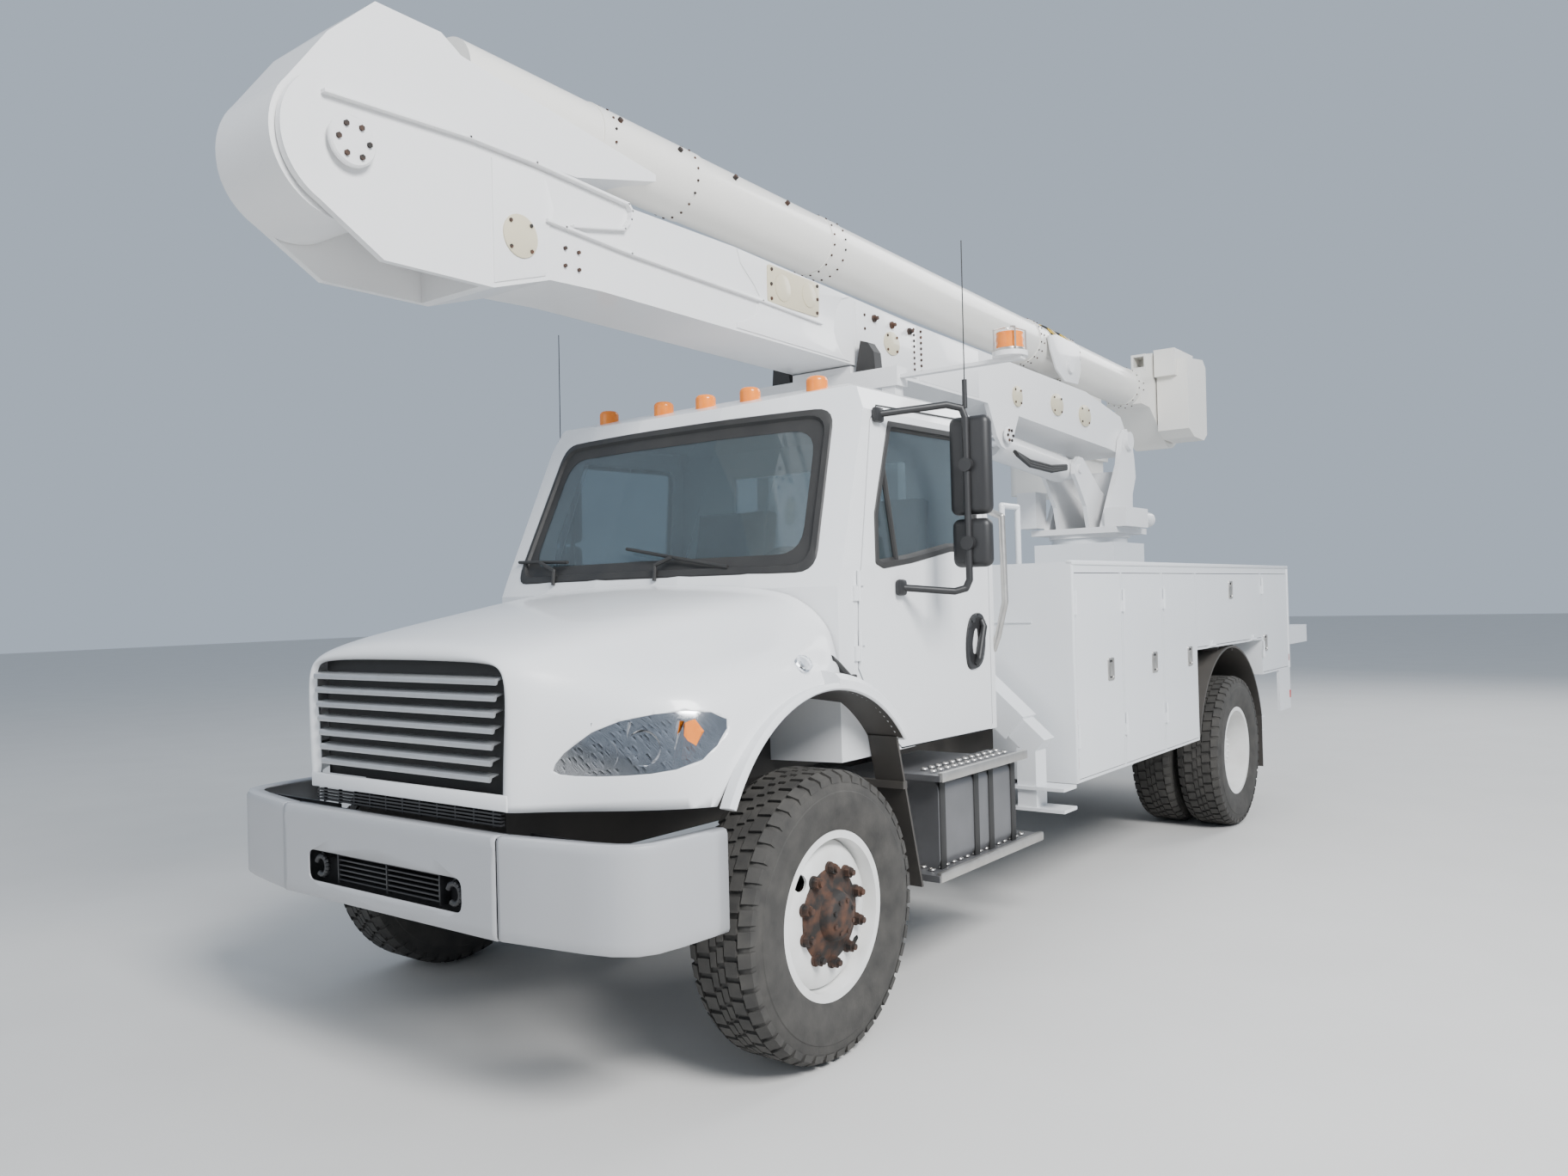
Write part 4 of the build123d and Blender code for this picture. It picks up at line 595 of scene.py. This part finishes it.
def tyre(mesh, x, distance):
    """Carcass with sidewall ribs, cut shoulder blocks and two inner rows of tread blocks."""
    centre = spot(x, distance, HUB_Z)
    whole = CARCASS + [(-a, r) for a, r in reversed(CARCASS[:-1])]
    turned(mesh, whole, centre, "X", 96)
    first = bmesh.new()
    step = 2 * pi / BLOCKS
    for side in (1, -1):
        for inner, outer, low_in, low_out, lead in TREAD_ROWS:
            corners = [(side * across, low, turn * step * side) for across, low, turn in (
                (inner, low_in, lead - 0.36), (inner, low_in, lead + 0.36),
                (outer, low_out, lead + 0.44), (outer, low_out, lead - 0.28))]
            top = [(a, TREAD_R, angle) if abs(a) < 110 else (a * 0.985, 498, angle) for a, low, angle in corners]
            verts = [first.verts.new(centre + Vector((a / 1000, r * sin(angle) / 1000, r * cos(angle) / 1000)))
                     for a, r, angle in corners + top]
            for ring in ((4, 5, 6, 7), (0, 1, 5, 4), (1, 2, 6, 5), (2, 3, 7, 6), (3, 0, 4, 7)):
                first.faces.new([verts[corner] for corner in ring])
    data = bpy.data.meshes.new("blocks")
    first.to_mesh(data)
    first.free()
    for count in range(BLOCKS):
        known = len(mesh.verts)
        mesh.from_mesh(data)
        mesh.verts.ensure_lookup_table()
        bmesh.ops.rotate(mesh, verts=mesh.verts[known:], cent=centre,
                         matrix=Matrix.Rotation(count * step, 3, "X"))
    bpy.data.meshes.remove(data)


RIM_EDGE = [(-112, 297), (-118, 297), (-118, 274), (-100, 270), (100, 270), (118, 274), (118, 302), (112, 302),
            (106, 290)]
FRONT_DISH = [(38, 272), (50, 268), (62, 262), (84, 240), (95, 205), (97, 150), (97, 100), (90, 100), (90, 148),
              (88, 200), (76, 232), (54, 254), (38, 262)]
INNER_TYRE_X = 753
HAND_HOLE_PITCH_R, HAND_HOLE_R = 222, 31
STUD_R = 167
REAR_DISH = [(-38, 272), (-52, 268), (-70, 255), (-120, 232), (-150, 200), (-158, 160), (-158, 60), (-150, 60),
             (-150, 158), (-142, 194), (-112, 224), (-62, 246), (-38, 262)]
WHEELS = {  # X of the outer wheel, disc, where its hand holes are, hub, studs' foot and tip, bolts of the cap
    "front": (1064, FRONT_DISH, 0.72, [(60, 0), (60, 168), (97, 168), (103, 160), (104, 120), (116, 92), (140, 84),
                                       (150, 78), (158, 60), (164, 40), (164, 0)], (97, 140), (8, 0.058, 150)),
    "rear": (1073, REAR_DISH, 0.4, [(-170, 0), (-170, 128), (-100, 128), (-60, 112), (20, 106), (30, 96), (30, 0)],
             (-158, -112), (12, 0.085, 28)),
}
for axle, distance in AXLES.items():
    outer, dish, hole_turn, hub_shape, (stud_foot, stud_tip), (caps, cap_r, cap_foot) = WHEELS[axle]
    for hand, side in HANDS:
        body = "wheel_%s_%s" % (axle, hand)
        centre = spot(side * outer, distance, HUB_Z)
        inner_centre = spot(side * INNER_TYRE_X, distance, HUB_Z)
        rubber, disc, hub = bmesh.new(), bmesh.new(), bmesh.new()
        tyre(rubber, side * outer, distance)
        turned(disc, [(side * a, r) for a, r in RIM_EDGE], centre, "X", 72)
        turned(disc, [(side * a, r) for a, r in dish], centre, "X", 72)
        if axle == "rear":
            tyre(rubber, side * INNER_TYRE_X, distance)
            turned(disc, [(side * a, r) for a, r in RIM_EDGE], inner_centre, "X", 72)
        piece("tyre_tread_%s_%s" % (axle, hand), rubber, tread_rubber, body,
              ["tyre_%s_%s" % (axle, hand)], 30)
        for turn in (hole_turn, hole_turn + pi):
            reach = Vector((BUMPER_Y + (distance + HAND_HOLE_PITCH_R * cos(turn + pi)) / 1000,
                            (HUB_Z + HAND_HOLE_PITCH_R * sin(turn)) / 1000))
            hole = [(reach.x + HAND_HOLE_R * cos(a * pi / 9) / 1000, reach.y + HAND_HOLE_R * sin(a * pi / 9) / 1000)
                    for a in range(18)]
            gone = cut_along(disc, hole, lambda c: (c.yz - reach).length < 0.05
                             and abs(abs(c.x) - outer / 1000) < 0.17 and (c.yz - centre.yz).length < 0.262, first=1)
            bmesh.ops.delete(disc, geom=gone, context="FACES")
        piece("wheel_disc_%s_%s" % (axle, hand), disc, wheel_paint, body,
              ["rim_%s_%s" % (axle, hand)], 50)
        turned(hub, [(side * a, r) for a, r in hub_shape], centre, "X", 40)
        bars = [(count * pi / 5, STUD_R / 1000, *bar) for count in range(10) for bar in (
            (stud_foot - 4, stud_foot + 8, 0.024, 20), (stud_foot + 4, stud_foot + 30, 0.0205, 6),
            (stud_foot, stud_tip, 0.0115, 12))]
        bars += [((count + 0.5) * 2 * pi / caps, cap_r, cap_foot, cap_foot + 14, 0.009, 6) for count in range(caps)]
        for turn, out, foot, tip, radius, faces in bars:
            arm = centre + Matrix.Rotation(turn, 3, "X") @ Vector((0, 0, out))
            rod(hub, arm + Vector((side * foot / 1000, 0, 0)), arm + Vector((side * tip / 1000, 0, 0)), radius, faces)
        piece("hub_%s_%s" % (axle, hand), hub, rusty_iron if axle == "front" else wheel_paint, body,
              (), 40)


# Cab trim: rubber round the windscreen and door windows, wipers, door pulls, mirrors on
# bent arms, grab pipes, fender marker lamps and the straps that hold the hood down.
soft_rubber = mottled("soft_rubber", (7.0, 6.0), (0.01, 0.01, 0.011), (0.04, 0.039, 0.037), 0.45, 0.3)
black_plastic = Finish("black_plastic")
grain = black_plastic.noise(160.0, 2.0)
black_plastic.set(base_color=black_plastic.mix(
    black_plastic.noise(3.0, 4.0), (0.012, 0.012, 0.013, 1), (0.03, 0.03, 0.031, 1)))
black_plastic.set(roughness=0.38 + grain * 0.15)
black_plastic.bump(grain, 0.15, 0.001)
bare_steel = mottled("bare_steel", (18.0, 6.0), (0.42, 0.40, 0.37), (0.62, 0.61, 0.59), 0.25, 0.3, metallic=0.9)
BOW = [(0, 0.07), (250, 0.07), (600, 0.4), (915, 0.93), (1100, 1.3)]


def on_screen(x, z, out):
    """A place on the raked, bowed windscreen, standing out by some millimetres."""
    for (x0, share0), (x1, share1) in zip(BOW, BOW[1:]):
        if x0 <= abs(x) <= x1:
            share = share0 + (share1 - share0) * (abs(x) - x0) / (x1 - x0)
    return spot(x, 1262 + FRONT_BOW * share + 0.423 * (z - 1700) - 0.921 * out, z + 0.39 * out)


def on_flank(side, distance, z, out):
    """A place on the cab's side, which leans in above the belt line."""
    return spot(side * (1010 - max(0, z - 1780) / 12 + out), distance, z)


def grown(outline, amount):
    """A closed outline moved outwards all round, in millimetres."""
    points = [Vector(point) for point in outline]
    area = sum(a.x * b.y - b.x * a.y for a, b in zip(points, points[1:] + points[:1]))
    done = []
    for before, here, after in zip(points[-1:] + points[:-1], points, points[1:] + points[:1]):
        first, second = (here - before).normalized(), (after - here).normalized()
        bend = Vector((first.y + second.y, -first.x - second.x)).normalized()
        reach = amount if area > 0 else -amount
        done.append(tuple(here + bend * reach / max(bend.dot(Vector((first.y, -first.x))), 0.4)))
    return done


def band(mesh, outline, rows, place, fill=0):
    """A moulding round an outline: each row is how far outside it, its corners' radius and
    how far off the surface. Long edges get more points, so as to follow a bowed surface."""
    loops = []
    for grow, radius, out in rows:
        ring = rounded(grown(outline, grow), radius, 5)
        points = []
        for count, (here, after) in enumerate(zip(ring, ring[1:] + ring[:1])):
            points.append(place(*here, out))
            if count % 6 == 5:
                for step in range(fill):
                    share = (step + 1) / (fill + 1)
                    points.append(place(*Vector(here).lerp(Vector(after), share), out))
        edges = chain(mesh, points)
        edges.append(mesh.edges.new((edges[-1].verts[1], edges[0].verts[0])))
        loops.append(edges)
    for first, second in zip(loops, loops[1:]):
        bmesh.ops.bridge_loops(mesh, edges=first + second)


def pipe(mesh, points, radius, segments=16):
    """A bent round bar: straight lengths with a ball at each bend."""
    for start, end in zip(points, points[1:]):
        rod(mesh, start, end, radius, segments)
    for point in points[1:-1]:
        bmesh.ops.create_uvsphere(mesh, u_segments=segments, v_segments=8, radius=radius,
                                  matrix=Matrix.Translation(point))


MIRROR_X = 1255
SCREEN = [(-880, 1780), (880, 1780), (805, 2435), (-805, 2435)]
DOOR_EDGE = [(1525, 1690), (1725, 2395), (1800, 2465), (2554, 2485), (2646, 2400), (2655, 1900), (2655, 1035),
             (2630, 1008), (1829, 1015), (1720, 1090), (1610, 1215), (1512, 1368)]
DOOR_PANE = [(1675, 1800), (1700, 1995), (1875, 2390), (2540, 2400), (2570, 2370), (2570, 1895), (2540, 1870),
             (2300, 1865), (1950, 1810), (1720, 1785)]
surround = bmesh.new()
band(surround, SCREEN, [(22, 90, 0), (16, 90, 6), (-8, 90, 6), (-16, 90, -8), (-62, 110, -15)], on_screen, 12)
for start, end, pivot in (((-926, 1866), (-494, 1849), (-560, 1745)), ((-98, 1892), (500, 1790), (120, 1745))):
    blade = [on_screen(*Vector(start).lerp(Vector(end), k / 4), 10) for k in range(5)]
    pipe(surround, blade, 0.008, 8)
    pipe(surround, [on_screen(*pivot, 6), on_screen(pivot[0], pivot[1] + 60, 26),
                    blade[2] + Vector((0, -0.014, 0))], 0.009, 8)
piece("windscreen_rubber", surround, soft_rubber, "chassis")
for hand, side in HANDS:
    door_body = "cab_door_" + hand

    def flank(a, b, out, side=side):
        return on_flank(side, a, b, out)

    window = bmesh.new()
    band(window, DOOR_PANE, [(16, 12, 0), (12, 12, 5), (-8, 12, 5), (-14, 12, -10), (-24, 12, -17)], flank, 2)
    rod(window, on_flank(side, 1791, 2366, -14), on_flank(side, 1843, 1794, -14), 0.014, 8)
    piece("door_window_rubber_" + hand, window, soft_rubber, door_body)
    seal = bmesh.new()
    band(seal, DOOR_EDGE, [(3.8, 6, -9), (-3.8, 6, -9)], flank, 2)
    piece("door_seal_" + hand, seal, soft_rubber, "chassis")
    pull = bmesh.new()
    plate_edge = [(2452, 1560), (2588, 1572), (2601, 1420), (2560, 1310), (2416, 1298), (2404, 1440)]
    band(pull, plate_edge, [(0, 60, 0), (-4, 60, 9), (-18, 60, 11), (-28, 60, 3), (-70, 20, 2)], flank, 1)
    pipe(pull, [flank(2560, 1528, 6), flank(2556, 1500, 20), flank(2500, 1352, 20), flank(2496, 1330, 6)], 0.016, 12)
    rod(pull, flank(2470, 1535, 0), flank(2470, 1535, 14), 0.014)
    piece("door_pull_" + hand, pull, black_plastic, door_body)
    mirrors = bmesh.new()
    for low, high, half in ((1990, 2410, 95), (1768, 1975, 90)):
        middle = Matrix.Translation(spot(side * MIRROR_X, 2048, (low + high) / 2))
        head = bmesh.ops.create_cube(mirrors, size=1, matrix=middle @ Matrix.Diagonal(
            (half / 500, 0.072, (high - low) / 1000, 1)))
        eased(mirrors, {edge for vert in head["verts"] for edge in vert.link_edges}, 34, 5)
    pipe(mirrors, spots(side, (972, 1765, 2420), (1190, 1960, 2456), (1242, 1998, 2440), (MIRROR_X, 2005, 2400),
                        (MIRROR_X, 2005, 1715), (1242, 1995, 1680), (1205, 1965, 1668), (1022, 1830, 1690)), 0.015)
    block(mirrors, (side * 958, side * 990), (1735, 1795), (2385, 2450), 12)
    block(mirrors, (side * 1010.5, side * 1042), (1800, 1860), (1655, 1725), 14)
    for z in (2200, 1870):
        rod(mirrors, *spots(side, (MIRROR_X, 1988, z), (MIRROR_X, 2020, z)), 0.03)
    rod(mirrors, *spots(side, (MIRROR_X, 2005, 2440), (MIRROR_X, 2006, 2560)), 0.011, 12)
    rod(mirrors, *spots(side, (MIRROR_X, 2006, 2560), (MIRROR_X, 2012, 3150)), 0.0025, 6)
    piece("mirrors_" + hand, mirrors, black_plastic, "chassis", ["mirror_" + hand])
    panes = bmesh.new()
    for low, high, half in ((2012, 2388, 74), (1790, 1953, 68)):
        near, far = MIRROR_X - half, MIRROR_X + half
        plate(panes, spots(side, (near, 2084.5, low), (far, 2084.5, low), (far, 2084.5, high),
                           (near, 2084.5, high)), (0, 0.001, 0))
    piece("mirror_panes_" + hand, panes, reflector, "chassis")
    grab = bmesh.new()
    pipe(grab, spots(side, (1000, 2708, 2050), (1060, 2712, 2024), (1066, 2712, 1613), (1030, 2700, 1450),
                     (1000, 2705, 1380)), 0.016)
    piece("grab_pipe_" + hand, grab, bare_steel, "chassis")
    marker = bmesh.new()
    turned(marker, [(-12, 0), (-12, 34), (4, 34), (12, 26), (15, 0)], Vector(), "Z", 28)
    bmesh.ops.rotate(marker, verts=marker.verts, cent=(0, 0, 0),
                     matrix=Vector((side * 0.75, -0.15, 0.6)).to_track_quat("Z", "Y").to_matrix())
    bmesh.ops.translate(marker, verts=marker.verts, vec=spot(side * 1096, 1030, 1422))
    piece("fender_marker_" + hand, marker, lens_clear, "hood")
    strap = bmesh.new()
    pipe(strap, spots(side, (1050, 1262, 1425), (1036, 1330, 1395), (1022, 1440, 1330)), 0.014, 8)
    block(strap, (side * 1011, side * 1034), (1430, 1470), (1300, 1350), 6)
    piece("hood_strap_" + hand, strap, soft_rubber, "chassis")


# Boom: ribs, doubler plates, hatches and bolts on the lower boom's sides, bands and studs
# on the tube, the striped clamp that holds it down, the beacon and the hydraulic hoses.
hatch_cream = enamel("hatch_cream", (0.62, 0.56, 0.40, 1), 0.5, 0.5)
hatch_cream.bump(hatch_cream.noise(50.0, 3.0), 0.2, 0.002)
hazard = Finish("hazard_stripes", roughness=0.5)
slant = (hazard.place("Y") + hazard.place("Z")) * 14.0
stripe = slant.math("FRACT", slant).above(0.5, 0.02)
hazard.set(base_color=hazard.mix(stripe, (0.03, 0.03, 0.03, 1), (0.75, 0.5, 0.03, 1)))


def raised(mesh, side, outline, x, thickness, bevel=0.0, radius=0.0):
    """A flat plate on a boom's side, from an outline of (station, Z)."""
    ring = rounded(outline, radius, 4) if radius else outline
    known = set(mesh.edges)
    plate(mesh, [spot(side * x, a, b) for a, b in ring], (side * thickness / 1000, 0, 0))
    if bevel:
        eased(mesh, [edge for edge in mesh.edges if edge not in known
                     and all(abs(vert.co.x) * 1000 > x + thickness - 0.5 for vert in edge.verts)], bevel)


def oval(a, b, width, height, count=28):
    """An ellipse of (station, Z)."""
    return [(a + width * cos(2 * pi * k / count), b + height * sin(2 * pi * k / count)) for k in range(count)]


def bolt(mesh, side, a, b, foot, tip, radius, faces=6):
    """A bolt through a boom's side at (station, Z), from one X to another."""
    rod(mesh, spot(side * foot, a, b), spot(side * tip, a, b), radius, faces)


# Ribs as lines of (station, Z): the long ledge, and the flange that curls round at the elbow
LEDGE = [(650, 3128), (739, 3123), (1097, 3100), (1972, 3073), (2457, 3050)]
FLANGE = [(-273, 3315), (289, 3337), (594, 3332), (1082, 3301), (1102, 3276), (1095, 3240), (1057, 3192),
          (779, 3136)]
BOOM_FACE = 199
RIB_HALF = 6
DOUBLERS = [  # outline, thickness, bevel
    ([(395, 3300), (650, 3296), (690, 3180), (640, 3040), (650, 2935), (640, 2915), (395, 2840)], 6, 2),
    ([(1802, 3283), (1827, 3222), (1925, 3140), (1963, 3096), (1950, 3030), (1930, 2994), (1788, 2939), (1788, 2915),
      (2725, 2897), (2644, 2925), (2600, 2980), (2579, 3032), (2585, 3090), (2608, 3155), (2660, 3215),
      (2730, 3238)], 7, 2),
    ([(2790, 3228), (3410, 3200), (3410, 2900), (2790, 2900)], 6, 2),
    ([(3440, 3200), (4180, 3178), (4180, 2885), (3440, 2895)], 3, 1)]
HATCHES = [(519, 3038, 82, 82), (3142, 3058, 82, 66), (4720, 2962, 70, 70), (5358, 2982, 100, 78),
           (5853, 2958, 105, 80)]
steelwork, covers, bolts = bmesh.new(), bmesh.new(), bmesh.new()
for side in (1, -1):
    for line, out in ((FLANGE, 26), (LEDGE, 22)):
        for start, end in zip(map(Vector, line), map(Vector, line[1:])):
            way = (end - start).normalized() * RIB_HALF
            out_way = Vector((-way.y, way.x))
            raised(steelwork, side, [start - way + out_way, end + way + out_way, end + way - out_way,
                                     start - way - out_way], BOOM_FACE, out, 2)
    for outline, thickness, bevel in DOUBLERS:
        raised(steelwork, side, outline, BOOM_FACE, thickness, bevel)
    raised(covers, side, [(2022, 3262), (2448, 3250), (2440, 3076), (2020, 3078)], BOOM_FACE, 14, 3, 20)
    raised(covers, side, oval(2137, 3165, 62, 66), 210, 7, 3)
    raised(covers, side, oval(2354, 3172, 58, 62), 210, 7, 3)
    for a, b, width, height in HATCHES:
        raised(covers, side, oval(a, b, width, height), BOOM_FACE, 12, 3)
        for turn in (0.25, 0.75, 1.25, 1.75):
            bolt(bolts, side, a + width * 0.84 * cos(turn * pi), b + height * 0.84 * sin(turn * pi), 210, 216, 0.008)
    for a, b in ((2050, 3240), (2425, 3232), (2420, 3095), (2045, 3098), (2045, 3168), (2425, 3165)):
        bolt(bolts, side, a, b, 212, 218, 0.009)
    for a, b in ((2963, 3166), (3144, 3161), (3333, 3158), (2960, 2943)):
        bolt(bolts, side, a, b, 204, 216, 0.020, 16)
        bolt(bolts, side, a, b, 214, 236, 0.011)
    for a, b in [(743, 3045), (813, 3043), (741, 2976), (813, 2974)] + [
            (2871, z) for z in (3170, 3096, 3014, 2939)] + [(a, 3180 - 33 * k) for a in (3385, 3465) for k in range(8)]:
        bolt(bolts, side, a, b, 200, 210, 0.008)
    for a, b, radius in ((-187, 3176, 84), (4530, 2680, 56)):
        turned(steelwork, [(side * out, r) for out, r in ((219, 0), (219, radius), (230, radius), (236, radius - 6),
                                                          (236, 0))], spot(0, a, b), "X", 32)
        for k in range(6):
            bolt(bolts, side, a + radius * 0.66 * cos(k * pi / 3), b + radius * 0.66 * sin(k * pi / 3), 230, 244, 0.010)
piece("boom_ribs", steelwork, boom_white, "lower_boom")
piece("boom_hatches", covers, hatch_cream, "lower_boom")
piece("boom_bolts", bolts, rusty_iron, "lower_boom")

TUBE_FOOT, TUBE_TOP = spot(0, 350, 3631), spot(0, 7261, 3364)
TUBE_WAY = (TUBE_TOP - TUBE_FOOT).normalized()
TUBE_UP = Vector((1, 0, 0)).cross(TUBE_WAY)
TUBE_R = 155


def on_tube(distance, turn, out):
    """A place on the tube's surface: station, degrees round from the top and millimetres out."""
    return (TUBE_FOOT + TUBE_WAY * (distance - 350) / 1000 + TUBE_UP * cos(radians(turn)) * (TUBE_R + out) / 1000
            + Vector((1, 0, 0)) * sin(radians(turn)) * (TUBE_R + out) / 1000)


bands, rivets = bmesh.new(), bmesh.new()
for distance, width, out in ((1340, 640, 5), (2730, 130, 4), (5250, 60, 7), (5880, 50, 7), (7190, 130, 6)):
    middle = TUBE_FOOT + TUBE_WAY * (distance - 350) / 1000
    known = len(bands.verts)
    turned(bands, [(-width / 2, 153), (-width / 2, TUBE_R + out), (width / 2, TUBE_R + out), (width / 2, 153)],
           Vector(), "Z", 64)
    bands.verts.ensure_lookup_table()
    fresh = bands.verts[known:]
    bmesh.ops.rotate(bands, verts=fresh, cent=(0, 0, 0), matrix=TUBE_WAY.to_track_quat("Z", "Y").to_matrix())
    bmesh.ops.translate(bands, verts=fresh, vec=middle)
    for end in (-0.4, 0.4):
        for turn in range(0, 360, 20):
            rod(rivets, on_tube(distance + end * width, turn, out), on_tube(distance + end * width, turn, out + 5),
                0.006, 6)
for distance in (1122, 1494, 1882, 2290):
    for turn in (0, 60, -60):
        rod(rivets, on_tube(distance, turn, 0), on_tube(distance, turn, 18), 0.012, 8)
piece("tube_bands", bands, glass_fibre, "upper_boom")
piece("tube_rivets", rivets, rusty_iron, "upper_boom")

clamp, stripes = bmesh.new(), bmesh.new()
for side in (1, -1):
    raised(clamp, side, [(5300, 3470), (5440, 3500), (5840, 3480), (5864, 3300), (5800, 3190), (5560, 3181),
                         (5420, 3250), (5330, 3380)], 168, 14, 3)
    bolt(clamp, side, 5640, 3300, 160, 204, 0.05, 24)
for distance in (5440, 5660):
    arc = chain(stripes, [on_tube(distance, turn, 12) for turn in range(-75, 76, 10)])
    shifted(stripes, bmesh.ops.extrude_edge_only(stripes, edges=arc)["geom"], TUBE_WAY * 0.11)
piece("tube_clamp", clamp, boom_white, "upper_boom")
walled(piece("clamp_stripes", stripes, hazard, "upper_boom"), 0.008)

beacon, cage = bmesh.new(), bmesh.new()
BEACON_FOOT = spot(1090, 2790, 2810)
turned(beacon, [(24, 0), (24, 66), (34, 68), (52, 64), (70, 68), (88, 64), (104, 66), (112, 52), (114, 0)],
       BEACON_FOOT, "Z", 40)
turned(cage, [(10, 0), (10, 72), (20, 74), (27, 72), (27, 0)], BEACON_FOOT, "Z", 40)
for k in range(4):
    turn = (k + 0.5) * pi / 2
    arm = Vector((cos(turn), sin(turn), 0))
    pipe(cage, [BEACON_FOOT + arm * out + Vector((0, 0, rise)) for out, rise in
                ((0.082, 0.012), (0.080, 0.120), (0.02, 0.134))], 0.004, 8)
piece("beacon_lens", beacon, amber, "chassis")
piece("beacon_cage", cage, bare_steel, "chassis")

hoses = bmesh.new()
for shift in (0, 34, 68):
    pipe(hoses, [spot(150 + shift / 4, 4767, 2604 - shift / 3), spot(150, 5000, 2560 - shift / 2),
                 spot(150, 5350, 2548 - shift / 2), spot(150, 5610, 2573 - shift / 3)], 0.013, 10)
piece("lift_hoses", hoses, soft_rubber, "lift_barrel")
dress(soft_rubber, "rest_horns")


# Service body and truck details: recessed paddle latches and rubber seals on the lockers,
# drip rails and posts, red reflectors, two handrails, step treads and the tanks' straps.
reflector_red = mottled("reflector_red", (120.0, 1.0), (0.45, 0.01, 0.01), (0.62, 0.03, 0.02), 0.2)
seals, lights = bmesh.new(), bmesh.new()
LATCHES = [("1", 3632, 1235), ("2", 4307, 1232), ("3", 4941, 1232), ("4", 5839, 1638), ("5", 6690, 1235)]
LIDS = [(3175, 3802, 708, 1746), (3830, 4452, 708, 1746), (4480, 5077, 708, 1746), (5105, 6587, 1280, 1746),
        (6615, 7340, 1022, 1746)]


def panel(first, last, low, high):
    """An upright rectangle of (station, Z)."""
    return [(first, low), (last, low), (last, high), (first, high)]


for hand, side in HANDS:
    def wall(a, b, out, side=side):
        return spot(side * (1219 + out), a, b)

    for row, distance, z in LATCHES:
        made, cup = bmesh.new(), bmesh.new()
        frame_edge = panel(distance - 42, distance + 42, z - 62, z + 62)
        band(made, frame_edge, [(0, 14, 0), (-2, 14, 6), (-12, 12, 7), (-14, 12, 1)], wall)
        raised(cup, side, rounded(grown(frame_edge, -13), 10, 4), 1218, 2)
        raised(made, side, panel(distance - 18, distance + 22, z - 40, z + 36), 1220, 5, 2, 12)
        rod(made, wall(distance - 6, z + 24, 4), wall(distance - 6, z + 24, 9), 0.011, 16)
        piece("latch_%s_%s" % (hand, row), made, bare_steel, "door_%s_%s" % (hand, row))
        piece("latch_cup_%s_%s" % (hand, row), cup, soft_rubber, "door_%s_%s" % (hand, row))
    for lid in LIDS:
        band(seals, panel(*lid), [(3.8, 3, -12), (0.2, 3, -12)], wall)
    for a, b in ((3158, 792), (3158, 1034), (7365, 800), (7365, 1090)):
        raised(lights, side, rounded(panel(a - 13, a + 13, b - 30, b + 30), 5, 3), 1219, 4, 1)
piece("locker_seals", seals, soft_rubber, "chassis")
piece("reflectors", lights, reflector_red, "chassis")

rails = bmesh.new()
for side in (1, -1):
    block(rails, (side * 1188, side * 1226), (3141, 7380), (1790, 1813), 5)
    block(rails, (side * 1190, side * 1225), (3143, 3168), (700, 1790), 4)
    block(rails, (side * 1190, side * 1225), (7352, 7378), (1008, 1790), 4)
    pipe(rails, spots(side, (600, 3642, 1800), (600, 3642, 2154), (600, 3842, 2154), (600, 3842, 1800)), 0.018, 12)
for x in (-700, 0, 700):
    block(rails, (x - 300, x + 300), (3134, 3142), (1500, 1506), 0)
piece("body_rails", rails, body_white, "chassis")

treads, straps = bmesh.new(), bmesh.new()
for side in (1, -1):
    for low, high, first, last in ((890, 930, 1830, 2630), (483, 523, 1800, 2780)):
        block(treads, (side * 1176, side * 1200), (first, last), (low - 8, high - 8), 4)
        for k in range(int((last - first - 80) / 60)):
            for x, lead in ((1120, 60), (1060, 90)):
                turned(treads, [(high - 13, 9), (high - 13, 16), (high - 8, 14), (high - 6, 10)],
                       spot(side * x, first + lead + 60 * k, 0), "Z", 10)
    for distance in (1900, 2200, 2340, 2560):
        block(straps, (side * 1138, side * 1145), (distance, distance + 45), (500, 882), 3)
piece("step_treads", treads, bare_steel, "chassis")
piece("tank_straps", straps, soft_rubber, "chassis")
